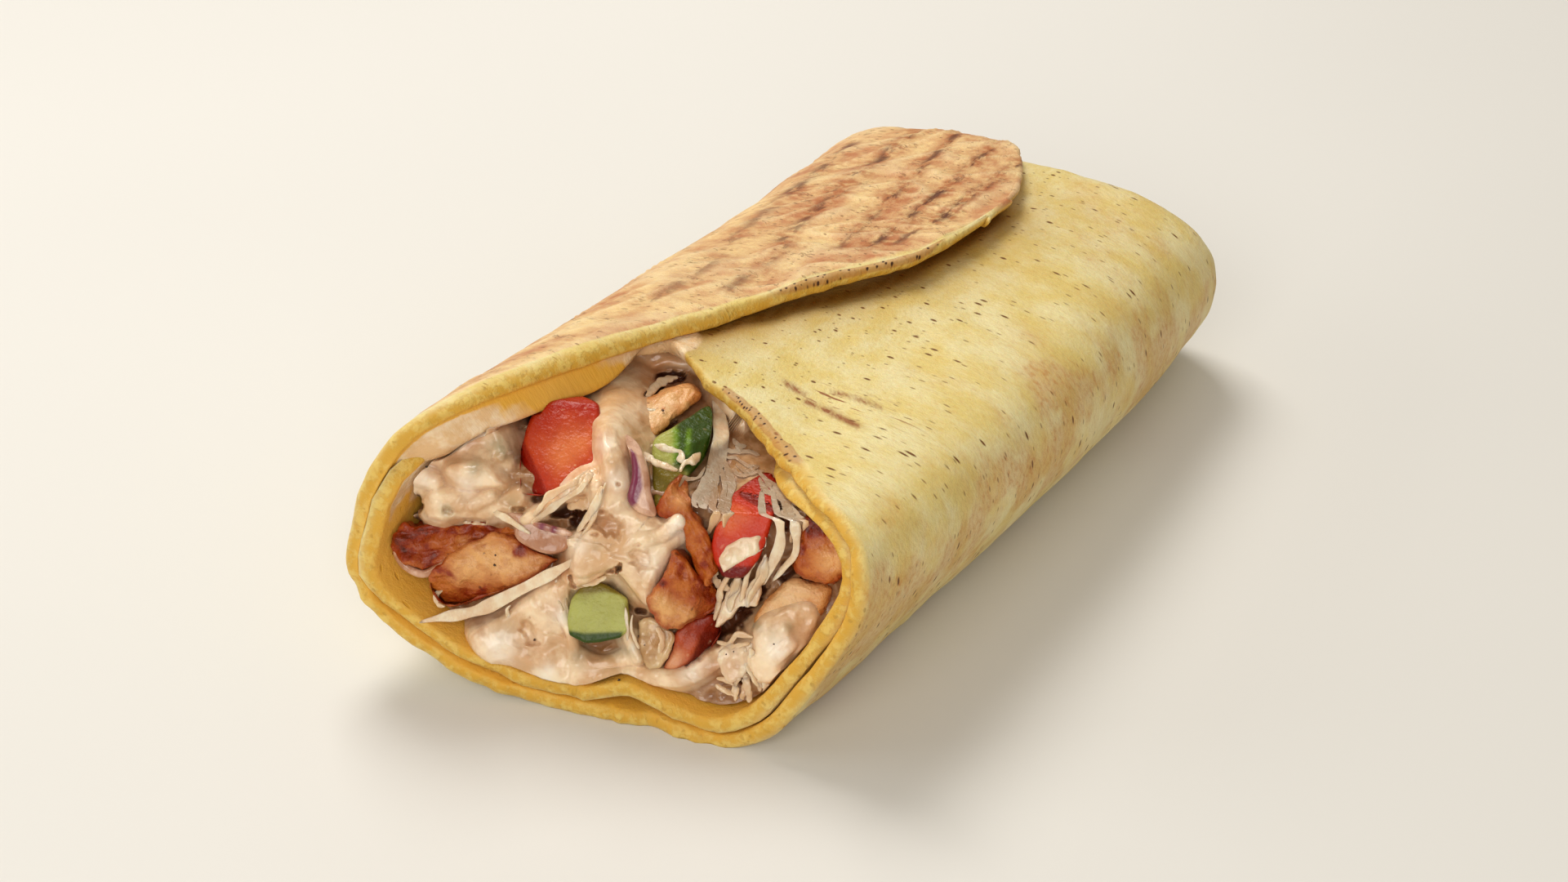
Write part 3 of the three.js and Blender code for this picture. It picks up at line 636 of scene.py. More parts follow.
# Places in a noise that is drawn out in one direction, given by its parts along and round the roll.
def drawnOut(place, along, around):
    x, y = place[..., 0], place[..., 1]
    return np.stack([0.22 * (along * y - around * x), 0.9 * (around * y + along * x), 0 * x], -1)


# Height of the skin over the smooth sheet: slow puffing and small dimples, on the flap a crest
# wherever a drawn-out noise is near nought, and lumps on the rims. The second result is the crests.
def breadRelief(angle, y, spot, edge, flap, rim):
    bent = spot + 1.6 * lumps(spot, 16, 12)[..., None]
    far, close = (drawnOut(bent, *lean) for lean in bread["wrinkleLean"])
    nearMouth = smoothStep(110, 134, angle)
    wrinkle = ((1 - nearMouth) * lumps(far, bread["wrinkleSize"], 11)
               + nearMouth * lumps(close, bread["wrinkleSize"], 13))
    ridge = np.clip(1 - np.abs(wrinkle) * 3.4, 0, 1)
    relief = bread["puff"] * lumps(spot, 9, 1) + bread["dimples"] * lumps(spot, 3, 2)
    relief = relief + flap * smoothStep(0.5, 4, edge) * bread["flapWrinkle"] * (ridge + 0.5 * wrinkle)
    relief = relief + rim * (0.28 * lumps(spot, 2.6, 5) + 0.3 * lumps(spot, 6, 6))
    ended = smoothStep(roll["length"] - 6, roll["length"] - 1, y)
    return relief * (1 - ended), ridge


# Masks for the bread's colours: sums of bell curves about the places in its dictionary, and bands
# at set distances behind the front edge.
def breadMarks(angle, y, spot, edge, outside, flap):
    ragged = 1 + 0.5 * lumps(spot, 7, 31) + 0.3 * lumps(spot, 2.6, 32)
    toast = sum(strength * gaussian(angle, a, wide * ragged) * gaussian(y, b, long * ragged)
                for a, b, wide, long, strength in bread["toastSpots"])
    streak = sum(nearLine(angle, y, *line) for line in bread["streaks"])
    scratched = nearLine(angle, y, *bread["scratches"])
    grill, halo = (sum(strength * nearLine(angle, y, *line, bread[width])
                       for *line, strength in bread["grillRows"]) for width in ("grillWidth", "haloWidth"))
    # sauce clings to the inside behind the front edge, and to the inner turn's edge under the flap
    smear = np.interp(angle, *np.array(bread["smears"]).T) * (1 - outside)
    smear = smear * smoothStep(0.1, 1.3, edge + 0.5 * lumps(spot, 4, 18)) * (1 - smoothStep(45, 80, edge))
    tucked = smoothStep(468, 476, angle) * (angle < 497) * (y > 44)
    smear = smear + 1.2 * tucked * (1 - smoothStep(3, 9, edge))
    # painted shadow: the bread below the flap's edge, from its back corner to the mouth, is darkened as if
    # the flap shaded it
    corners = [[roll["flapTip"], edgeAt("backEdge", roll["flapTip"])]]
    corners += [[a, edgeAt("frontEdge", a)] for a in np.arange(roll["flapTip"], bread["flapShadowEnd"], 6)]
    gap = np.min([lineGap(angle - 360, y, *one, *two) for one, two in zip(corners[:-1], corners[1:])], axis=0)
    flapShadow = np.exp(-(gap / bread["flapShadowReach"]) ** 1.2) * outside * (angle > 330) * (angle < 500)
    # two stretches of edge are scorched: one of the flap's, one of the inner turn's
    burnt = smoothStep(-1.25, -0.7, edge) * (1 - smoothStep(0.3, 1.3, edge)) * outside
    burnt = burnt * (smoothStep(66, 69, angle) * (1 - smoothStep(92, 104, angle))
                     + smoothStep(398, 406, angle) * (1 - smoothStep(442, 448, angle)))
    marks = {"flap": flap, "toast": toast * outside, "streak": streak * outside, "inside": 1 - outside,
             "scratched": scratched * outside, "grill": grill * flap, "halo": halo * flap,
             "flapShadow": flapShadow, "burn": burnt}
    marks = {label: np.clip(values, 0, 1) for label, values in marks.items()}
    return {**marks, "smear": np.clip(smear, 0, 1.1),
            "band": edge / np.interp(angle, *np.array(bread["paleBand"]).T)}


# The sheet's smooth points moved along their normals by the height of the skin, and kept off the floor.
def makeBread():
    points, angle, y, level, rim, y0 = breadGrid()
    outside = 1 - smoothStep(0.1, 0.6, level)
    edge = y - y0                              # distance behind the front edge
    spot = np.stack([angle * bread["noiseArc"], y, level * 3], -1)
    limit = np.interp(y, *np.array(bread["flapLimit"]).T) + 5 * lumps(spot, (14, 9, 9), 17)
    flap = outside * (1 - smoothStep(-10, 9, angle - limit)) * (angle < 250)
    relief, ridge = breadRelief(angle, y, spot, edge, flap, rim)
    row, column = 181, 21                      # a place on the outside, where the normals are checked
    away = points[row, column] * [1, 0, 1] - [0, 0, 20]
    points = points + gridNormals(points, True) * relief[..., None] * gridSide(points, row, column, away)
    points[..., 2] = np.maximum(points[..., 2], 0)
    rows, columns = points.shape[:2]
    ladder = endLadder()
    faces = np.concatenate([gridFaces(rows, columns, True), ladder[:, ::-1], ladder + (rows - 1) * columns])
    masks = {**breadMarks(angle, y, spot, edge, outside, flap), "ridge": ridge * flap, "rim": rim}
    piece = makeMesh("bread_sheet", points, faces, masks=masks,
                     uv=np.stack([angle * bread["uvPerDegree"], y * bread["uvPerMm"]], -1))
    settle(piece, breadFinish(), "flatbread", "flatbread")


# Quads straight across the profile between its outside and inside halves.
def endLadder():
    outer, rimCount, inner = bread["outerColumns"], bread["rimColumns"], bread["innerColumns"]
    total = outer + 2 * rimCount + inner
    left = np.arange(-rimCount // 2, outer + rimCount // 2)
    share = (left + rimCount // 2) / (len(left) - 1)
    right = np.round(total - rimCount // 2 - 1 - share * (inner + rimCount - 1)).astype(int)
    return np.stack([left[:-1] % total, left[1:] % total, right[1:] % total, right[:-1] % total], -1)


def breadFinish():
    finish, tree, shader = newFinish("flatbread_baked", 0.5, coat=0.04, coatRoughness=0.35, specular=0.25,
                                     subsurface=0.12, radius=(1.4, 0.9, 0.3))
    sheet = addNode(tree, "UVMap", uv_map="sheet").outputs["UV"]
    place = objectCoords(tree)
    flapShadow = mask(tree, "flapShadow")
    color = blendColor(tree, patchMask(tree, sheet, 9, 4, 0.35, 0.65), bread["pale"], bread["golden"])
    color = lay(tree, color, bread["rim"], patchMask(tree, sheet, 70, 3, 0.3, 0.7), 0.14)
    # painted shadow below the flap's edge, darkest right under it
    color = lay(tree, color, bread["flapShadowTone"], flapShadow, 0.98)
    color = lay(tree, color, bread["tucked"], remap(tree, flapShadow, 0.55, 1.0), 0.7)
    # toasted places: a soft tint, broken up by finer brown patches
    toast = mask(tree, "toast")
    toastBroad = patchMask(tree, sheet, 11, 7, 0.44, 0.66)
    toastFine = patchMask(tree, stretched(tree, sheet, (0.8, 1, 1)), 90, 4, 0.44, 0.68)
    toastPatch = times(tree, calc(tree, "MAXIMUM", toastBroad, remap(tree, toast, 0.65, 1.2)),
                       scaled(tree, toastFine, 0.6, 0.4))
    color = lay(tree, color, bread["toast"], toast, scaled(tree, toastPatch, 0.7, 0.14))
    # the flap: cream with pink-brown patches, a painted highlight on its wrinkles' crests, singed beside the
    # grill marks
    flap = mask(tree, "flap")
    flapPatch = patchMask(tree, stretched(tree, sheet, (1, 0.7, 1)), 7.5, 6, 0.36, 0.64)
    flapFine = patchMask(tree, stretched(tree, sheet, (0.6, 1, 1)), 38, 5, 0.40, 0.62)
    flapColor = blendColor(tree, scaled(tree, flapPatch, 0.7, times(tree, flapFine, 0.3)),
                           bread["flapCream"], bread["flapPink"])
    # painted highlight along the crests of the wrinkles
    flapColor = lay(tree, flapColor, bread["flapHighlight"], mask(tree, "ridge"), 0.6)
    crease = addNode(tree, "TexNoise", {"Vector": stretched(tree, sheet, (0.4, 1, 1)), "Scale": 17.0,
                                        "Detail": 4.0, "Roughness": 0.6}).outputs["Fac"]
    crease = remap(tree, calc(tree, "ABSOLUTE", calc(tree, "SUBTRACT", crease, 0.5)), 0.0, 0.016, 1.0, 0.0)
    crease = times(tree, crease, patchMask(tree, sheet, 14, 2, 0.46, 0.62))
    flapColor = lay(tree, flapColor, bread["char"], crease, 0.5)
    flapColor = lay(tree, flapColor, bread["singed"], mask(tree, "halo"), scaled(tree, flapFine, 0.6, 0.24))
    color = lay(tree, color, flapColor, flap, remap(tree, mask(tree, "band"), 0.25, 1.0, 0.04, 1.0))
    # grill marks: broken dark lines along the roll
    ragged = patchMask(tree, stretched(tree, sheet, (1, 0.5, 1)), 24, 5, 0.46, 0.58)
    bars = times(tree, mask(tree, "grill"), scaled(tree, ragged, 1.0, 0.06))
    color = lay(tree, color, bread["char"], bars, 0.92)
    # flecks lie across the roll, fewer of them on the flap
    dusty = patchMask(tree, stretched(tree, sheet, (0.55, 1, 1)), 150, 2, 0.5, 0.72)
    smallFlecks = fleckMask(tree, stretched(tree, sheet, (0.5, 1.1, 1)), 74, 0.25, 0.34)
    flecks = fleckMask(tree, stretched(tree, sheet, (0.5, 1.2, 1)), 42, 0.22, 0.42)
    color = lay(tree, color, bread["toast"], dusty, 0.16)
    color = lay(tree, color, bread["fleck"], smallFlecks, 0.6)
    color = lay(tree, color, bread["fleck"], flecks, scaled(tree, flap, -0.6, 1.0), 0.95)
    # frayed streaks on the inner turn, and the scratches beside them
    frayed = patchMask(tree, place, 340, 3, 0.38, 0.58)
    color = lay(tree, color, bread["streak"], mask(tree, "streak"), scaled(tree, frayed, 0.55, 0.55))
    along = addNode(tree, "Mapping", {"Vector": sheet, "Rotation": (0, 0, 0.36),
                                      "Scale": (0.11, 1, 1)}).outputs[0]
    scratches = patchMask(tree, along, 105, 2, 0.58, 0.64)
    color = lay(tree, color, bread["streak"], scratches, mask(tree, "scratched"))
    # inside and rims
    rim = mask(tree, "rim")
    crumb = patchMask(tree, place, 420, 4, 0.42, 0.62)
    rimColor = blendColor(tree, crumb, bread["rim"], bread["rimPale"])
    rimColor = lay(tree, rimColor, bread["pore"], fleckMask(tree, place, 520, 0.3, 0.35), 0.55)
    color = lay(tree, color, bread["inner"], mask(tree, "inside"), 0.9)
    color = lay(tree, color, rimColor, rim, 0.8)
    # sauce smeared on the inside
    uneven = times(tree, patchMask(tree, place, 120, 3, 0.3, 0.6), 0.4)
    smear = remap(tree, calc(tree, "ADD", mask(tree, "smear"), uneven), 0.55, 0.95)
    daub = patchMask(tree, place, 210, 3, 0.42, 0.66)
    color = lay(tree, color, blendColor(tree, daub, bread["smear"], bread["smearPale"]), smear, 0.92)
    # scorched dots along two edges
    burn = remap(tree, mask(tree, "burn"), 0.1, 0.6)
    color = lay(tree, color, bread["singed"], burn, 0.55)
    color = lay(tree, color, bread["burnt"], burn, fleckMask(tree, sheet, 76, 0.36, 0.75), 0.97)
    tree.links.new(color, shader.inputs["Base Color"])
    tree.links.new(scaled(tree, smear, -0.3, 0.56), shader.inputs["Roughness"])
    height = scaled(tree, flecks, -0.6, grainHeight(tree, sheet, 90))
    height = scaled(tree, bars, -0.8, height)
    height = scaled(tree, times(tree, crumb, rim), 0.8, height)
    height = scaled(tree, crease, times(tree, flap, -0.5), height)
    setBump(tree, shader, height, 0.6, 0.0004)
    return finish


makeBread()
print("bread rolled")

# Sauce-coated heap

heap = {
    "middle": (-2, 3), "directions": 500, "rings": 180, "backRows": 12, "backEnd": 177.0,
    "recess": 3.0,                             # how far the loose shreds lie behind the cut pieces
    "blend": 1.1, "sauceLumps": 0.45, "shredLumps": 1.3,
    "masses": [                                # outline on the face, stand, slope, rounding
        [[[-10, 5], [-6.6, 9.6], [-5.6, 14], [-5.4, 20], [-5, 25], [-3.6, 25.4], [-1.6, 22.8], [-0.4, 20.6],
          [0.4, 16], [0.6, 12.4], [4, 10.6], [7, 9.6], [9, 11], [11.4, 11.6], [11.8, 8], [11.2, 5], [8.6, 3],
          [7, 0], [5, -4.6], [3.4, -7.6], [1, -5.4], [-2, -1.6], [-5, -0.8], [-9, -2.2], [-11.5, -0.4]],
         3.4, (0.05, 0.12), 3.0],
        [[[-32, -13], [-26, -10], [-20, -5], [-14, -2], [-12.6, -8], [-13, -13], [-10, -15.5],
          [-6, -17.4], [-2, -16], [0.6, -12], [2.4, -14], [2, -19], [-4, -21.8], [-12, -23.6], [-18, -22.4],
          [-24, -20], [-28, -19.6], [-31.4, -16.6]], 2.6, (0.12, 0.2), 3.0],
        [[[23.6, -12], [26, -8.6], [30, -8], [33.2, -9.4], [33, -14], [31, -17.6], [28, -20.4],
          [25, -20], [24, -16]], 3.2, (0.0, 0.1), 3.2],
        [[[28, -9.4], [31, -7], [35, -6.4], [36.6, -9], [35, -13], [33, -16.6], [30, -15]],
         2.2, (0.0, 0.1), 1.6],
        [[[23.4, -17], [27, -18], [29.6, -20], [27, -22.4], [24, -21.6]], 2.6, (0.0, 0.1), 1.2],
        [[[-58, 17], [-48, 13.6], [-40, 13.8], [-35, 12.8], [-28, 14], [-25, 16.6], [-22.4, 19],
          [-23.4, 22.5], [-25, 26], [-28, 28.4], [-33, 33], [-42, 33], [-56, 28]], 1.2, (0.1, 0.3), 2.0],
        [[[-41, 12], [-39.4, 9.4], [-36, 8.8], [-33, 9.4], [-28, 9], [-25, 11], [-25.6, 13.6],
          [-29, 15], [-35, 15.4], [-39, 15]], 3.4, (0.05, 0.1), 2.6],
        [[[-36, 19], [-32, 20.6], [-28, 20], [-25.4, 17.6], [-24.6, 15.8], [-28, 15.4], [-33, 15.8]],
         3.8, (0.0, 0.1), 2.2],
        [[[-27, 12], [-22, 15.4], [-20.4, 13.6], [-22, 10.6], [-26, 10]], 1.6, (0.1, 0.1), 1.4],
        [[[20, -15], [24, -13.6], [24.6, -17], [24, -20], [20, -20.6], [17.6, -19.4], [17.6, -16.8]],
         1.4, (0.1, 0.1), 1.6],
        [[[-7, 34], [-3, 34.6], [0, 36], [3, 37.2], [4, 38.8], [9.6, 39], [12, 36.6], [15.6, 37.6], [17, 43],
          [10, 47], [-2, 46], [-9, 42]], -0.6, (0.0, -0.1), 1.6],
        [[[17.6, 33.6], [20.4, 33.8], [25, 30.4], [31.4, 25.6], [31, 23], [27.4, 23.4], [23.6, 24.6],
          [20.4, 27], [18.2, 30]], 0.6, (0.0, -0.1), 1.4],
        [[[-58, 17], [-46, 17], [-42, 20], [-37, 25], [-31, 28.4], [-26, 29.4], [-26, 35], [-34, 38],
          [-44, 36], [-56, 30]], 3.0, (-0.1, 0.2), 3.4],
        [[[-49, 4], [-46.6, 3], [-46.4, -2], [-43, -7], [-44, -9], [-48, -6], [-51, 0]],
         -1.0, (0.2, 0.1), 1.2],
    ],
    "ridges": [                                # path of [r, u, stand], radius
        [[[-24, -20.2, 1.2], [-14, -22.8, 1.6], [-6, -22, 1.8], [2, -21.4, 1.8], [9, -21.8, 1.8],
          [13, -20.4, 2.0], [16, -18.2, 2.2], [18, -16.4, 1.6]], 1.9],
        [[[-20.6, 9, 2.6], [-16, 11.4, 3.4], [-12, 14.6, 3.6], [-8, 17.4, 3.4], [-5, 20, 3.2]], 1.15],
        [[[-4.8, 36, -1.0], [-4.6, 30, 1.2], [-5.4, 25, 2.8], [-5.2, 20, 3.4]], 1.1],
        [[[-6.4, 16, 3.4], [-6.2, 12, 3.4], [-8, 8, 3.2], [-11, 5, 3.0]], 1.2],
        [[[-12, 13.4, 1.4], [-9, 12.8, 1.0], [-6.6, 13.4, 1.8]], 0.8],
        [[[-1.4, -11, 2.4], [-0.6, -14, 2.6], [1.2, -18, 2.6]], 1.0],
        [[[-12.4, -1.6, 4.2], [-10.6, -2.6, 4.2], [-7, -1, 4.2], [-4, 1, 4.0]], 1.3],
        [[[-41.6, 17.6, 3.4], [-38.4, 16.6, 3.8]], 1.7], [[[-37.6, 13.6, 4.4], [-33.4, 12.4, 4.4]], 1.6],
        [[[-34, 18.6, 4.2], [-30.4, 18.4, 4.6]], 1.5], [[[-31.4, 23, 3.2], [-28.4, 21.4, 3.8]], 1.4],
        [[[-26.6, 25, 3.4], [-25.4, 21.6, 3.8]], 1.3], [[[-30.4, 12, 4.4], [-27.2, 13.6, 4.2]], 1.3],
        [[[-37.4, 21.4, 3.0], [-35, 23.6, 2.8]], 1.5], [[[-27, -12, 2.8], [-22.4, -14.6, 3.4]], 1.7],
        [[[-18.6, -7, 3.4], [-16.8, -12, 3.6]], 1.5], [[[-23, -17.4, 2.6], [-17.6, -18.6, 3.0]], 1.5],
        [[[2.6, 5.4, 4.2], [6.4, 6.4, 4.6], [9.4, 9, 4.4]], 1.5], [[[-6.4, 3, 4.0], [-1.4, 2.2, 4.4]], 1.4],
        [[[26.4, -13.4, 4.2], [29.4, -11.8, 4.2]], 1.6], [[[28.4, -17, 4.2], [31, -14.6, 4.0]], 1.5],
        [[[-13, -4, 2.8], [-13.4, -9, 3.2], [-11.6, -13.4, 3.0], [-11.4, -18, 2.6]], 1.1],
    ],
    "pits": [                                  # r, u to r, u, radius, depth: short ragged slots
        [-14.4, 10.3, -12.0, 10.8, 1.1, 6], [-10.4, 8.8, -8.7, 10.6, 1.2, 6],
        [-3.6, -0.7, -2.0, -0.4, 0.6, 4], [-2.6, -1.0, -1.9, 0.2, 0.5, 4],
        [1.2, -8.6, 2.4, -8.8, 0.7, 4], [-45.0, 9.8, -42.8, 12.2, 1.5, 8], [-46.2, 7.0, -42.6, 8.4, 1.1, 6],
        [4.8, 37.1, 9.0, 37.2, 1.0, 6], [2.6, 33.8, 5.0, 35.0, 0.6, 5], [-20.2, 31.2, -19.4, 27.4, 1.4, 6],
        [-18.6, 12.8, -14.8, 14.0, 0.7, 3], [-22.8, 11.0, -21.2, 11.2, 0.4, 2.5],
        [29.6, -1.4, 31.2, -0.4, 1.2, 5], [25.0, -4.4, 22.6, -7.4, 1.3, 5], [20.4, -9.6, 16.6, -13.2, 1.7, 5],
        [14.6, -15.4, 10.6, -18.2, 1.0, 3], [-11.8, -2.0, -11.2, -3.8, 0.4, 3],
        [-41.2, -3.2, -40.2, -6.2, 2.0, 3],
        [21.0, -21.8, 23.2, -21.6, 0.8, 3], [29.0, 12.0, 30.2, 8.0, 0.8, 3],
        [-5.0, 8.6, -3.4, 7.8, 2.0, 2.2], [1.4, 2.6, 3.0, 1.0, 1.5, 1.4],
        [-20.6, -11.6, -19.6, -14.6, 1.3, 1.2],
        [5.4, 25.8, 8.2, 28.2, 0.4, 3], [33.2, -2.2, 36.0, -2.8, 0.5, 3],
        [-36.2, 11.0, -35.0, 10.6, 0.6, 1.2], [-2.1, 16.1, -1.9, 16.0, 0.35, 1.2],
        [-32.6, 9.0, -28.6, 8.6, 0.35, 2],
    ],
    "glassy": [                                # r, u, radius, strength: thin grey places in the sauce
        [-29.9, 19.4, 1.7, 0.9], [-25.6, 23.4, 2.0, 0.8], [-24.2, 21.4, 1.7, 0.7], [-35.7, 11, 1.3, 0.9],
        [-22.8, 12.6, 1.8, 0.5], [3.2, -15, 2.6, 0.8], [5.2, -17.6, 2.2, 0.8], [1.6, -12, 1.5, 0.7],
        [-0.6, -16.6, 1.2, 0.6], [-10.4, -17.6, 2.0, 0.6], [24.6, -11.4, 1.1, 0.8], [30.8, -11.4, 1.1, 0.6],
        [27.6, -12.6, 1.4, 0.4], [-25, -12, 2.4, 0.4], [-6.5, 4, 1.2, 0.35], [4.4, 5, 1.6, 0.3],
    ],
    "brownAndShaded": [                                # r, u, radius, strength: warm brown places, partly brown sauce and partly painted shade in hollows and below pieces
        [-4.0, 8.6, 2.4, 0.75], [-13.6, 0.4, 2.4, 0.8], [-32, 24, 3.5, 0.6], [-43, 21, 3.4, 0.3],
        [-26.5, 28.6, 3.0, 0.7], [16, -20, 2.6, 0.75], [-8, -17.4, 3.0, 0.65], [2, 28, 3.0, 0.5],
        [-15, -8, 2.4, 0.4], [-19, -16, 3.4, 0.35], [-22.6, 29, 2.0, 0.6], [5, 37, 5, 0.8],
        [33.4, -12, 1.6, 0.6], [2, -8, 1.8, 0.6], [-30, -11.4, 2.0, 0.5], [30, 20, 4, 0.8],
    ],
    "highlightSpots": [                                # r, u, radius, strength: painted highlights, the palest places
        [9.8, 7.8, 2.6, 1.0], [-2.4, 16.6, 2.2, 0.8], [-13.4, -9.8, 2.0, 0.9], [-26, -15.6, 3.4, 0.8],
        [29, -15.4, 3.2, 0.9], [-40.6, 18, 3.0, 0.7], [-16.8, -21, 2.0, 0.8], [-4.8, 24, 1.8, 0.8],
        [0.6, -15.6, 0.9, 0.8], [4, 1, 2.4, 0.6], [-44, 24, 6, 0.5], [-47, 15, 3, 0.9],
        [-9.6, 4.4, 2.0, 0.6], [12, -20.8, 3.0, 0.6], [-31, 15.6, 3.0, 0.6], [-12.6, 15.2, 2.0, 0.6],
    ],
    "cream": tone(246, 219, 182), "peach": tone(216, 173, 128), "shadeTone": tone(96, 38, 12),
    "creaseShadeTone": tone(176, 118, 70),
    "shredTone": tone(186, 138, 88), "glassTone": tone(164, 146, 112), "brownShadeTone": tone(176, 110, 62),
    "highlightTone": tone(254, 244, 228),
}


# Height of a strand: a round bar along its path, with steep sides below the bar's widest place.
def ridgeHeight(r, u, path, radius):
    line = smoothCurve(path, 5, False)
    best = np.full(r.shape, -60.0)
    for start, stop in zip(line[:-1], line[1:]):
        span = stop - start
        share, gap = nearestOn(r - start[0], u - start[1], span)
        top = frontOut(start[0] + share * span[0], start[1] + share * span[1]) + start[2] + share * span[2]
        crown = np.sqrt(np.clip(1 - (gap / radius) ** 2, 0, 1)) * radius - radius
        best = np.maximum(best, top + crown - 3.0 * np.maximum(gap - radius, 0))
    return best


# Height of a mass of sauce: a tilted plane that falls off at its outline like a quarter circle.
def massHeight(r, u, outline, stand, slope, rounding):
    middle = np.mean(outline, axis=0)
    gap = insideBy(r, u, smoothCurve(outline, 4, True))
    near = 1 - np.clip(gap / rounding, 0, 1)
    drop = rounding * (1 - np.sqrt(np.maximum(1 - near**2, 0))) + 2.5 * np.maximum(-gap, 0)
    return frontOut(*middle) + stand + slope[0] * (r - middle[0]) + slope[1] * (u - middle[1]) - drop


# The greater of two, with the corner between them rounded over about k.
def smoothMax(a, b, k):
    return 0.5 * (a + b + np.sqrt((a - b) ** 2 + k**2))


# Height of the heap's front: loose shreds, with sauce masses and strands joined on by a
# smooth maximum, and hollows taken out. The second result is the share of sauce.
def heapFront(r, u):
    spot = np.stack([r, u, 0 * r], -1)
    tangled = 1 - 2 * np.abs(lumps(np.stack([r * 0.45 + u * 0.2, u - 0.3 * r, 0 * r], -1), 2.3, 21))
    crossed = 1 - 2 * np.abs(lumps(np.stack([r + 0.3 * u, u * 0.4 - 0.2 * r, 0 * r], -1), 2.1, 22))
    height = frontOut(r, u) - heap["recess"] + 0.5 * heap["shredLumps"] * (np.maximum(tangled, crossed) - 0.3)
    sauce = np.zeros(r.shape)
    parts = [massHeight(r, u, *mass) for mass in heap["masses"]]
    parts += [ridgeHeight(r, u, *ridge) for ridge in heap["ridges"]]
    # sauce: slow swells with folds, whose crests wander, and small drops
    swept = spot + 1.5 * lumps(spot, 3.4, 25)[..., None]
    folds = np.clip(1 - 2.6 * np.abs(lumps(swept, (3.6, 2.4, 3), 26)), 0, 1)
    soft = heap["sauceLumps"] * (1.5 * lumps(spot, 4.2, 23) + 0.8 * lumps(swept, 2.1, 24)
                                 + 0.5 * folds * (1 + lumps(spot, 6, 29)) + 0.16 * lumps(swept, 0.95, 27))
    for part in parts:
        part = part + soft
        sauce = np.maximum(sauce, smoothStep(-0.8, 0.5, part - height))
        height = smoothMax(height, part, heap["blend"])
    ragged = 1 + 0.45 * lumps(spot, 0.9, 28)
    for startR, startU, endR, endU, radius, depth in heap["pits"]:
        gap = nearestOn(r - startR, u - startU, (endR - startR, endU - startU))[1]
        height = height - depth * (1 - smoothStep(0.4, 1.35, gap * ragged / radius))
    return height, sauce


# Soft round marks on the face, from a list of [r, u, radius, strength].
def faceSpots(r, u, spots):
    return np.clip(sum((strength * np.exp(-((r - a) ** 2 + (u - b) ** 2) / radius**2)
                        for a, b, radius, strength in spots), 0 * r), 0, 1)


# The heap: rings from its middle out to where its front meets the bread, then rows that follow the
# inside of the bread back to the far end and close there.
def makeHeap():
    turn = np.linspace(0, 2 * np.pi, heap["directions"], endpoint=False)
    middle, across = heap["middle"], (np.cos(turn), np.sin(turn))
    probe = np.linspace(2, 70, 240)[:, None]
    r, u = (middle[k] + probe * across[k] for k in (0, 1))
    height, _ = heapFront(r, u)
    reach = np.maximum(*(probe[np.argmax(pressIntoRoll(onFace(r, u, front), 0.1)[1] < 1, axis=0), 0]
                         for front in (np.minimum(height, frontOut(r, u)), height)))
    kernel = np.hanning(9)[1:-1]
    reach = np.convolve(np.tile(reach, 3), kernel / kernel.sum(), "same")[len(turn):2 * len(turn)]
    step = np.linspace(0, 1, heap["rings"])[:, None] ** 0.8
    r, u = (middle[k] + step * reach * across[k] for k in (0, 1))
    height, sauce = heapFront(r, u)
    front, _ = pressIntoRoll(onFace(r, u, height), 0.1)
    x, y, z = front[-1].T
    y = y + rollMiddle
    angle = np.degrees(np.arctan2(z - centreHeight(y), x))
    along = y + (heap["backEnd"] - y) * np.linspace(0, 1, heap["backRows"] + 1)[1:, None]
    wall = rollPoint(angle, along, roomDepth(angle, along) + 0.4)
    wall[..., 2] = np.minimum(wall[..., 2], np.maximum(z, 44))
    end = wall[-1].mean(axis=0)
    closed = end + (wall[-1] - end) * 0.02
    points = np.concatenate([front, wall, closed[None]])
    # the deep mask is how far each point lies behind the filling's front; the finish paints it dark as shade
    # in the hollows
    masks = {"sauce": sauce, "deep": np.clip((frontOut(r, u) + 0.2 - height) / 5.5, 0, 1)}
    masks.update({label: faceSpots(r, u, heap[label]) for label in ("glassy", "brownAndShaded", "highlightSpots")})
    masks = {label: np.pad(values, ((0, len(wall) + 1), (0, 0))) for label, values in masks.items()}
    piece = makeMesh("cabbage_and_sauce", points, gridFaces(*points.shape[:2], True), masks=masks,
                     merge=poleGap)
    settle(piece, heapFinish(), "cabbage_heap", "cabbage_heap")


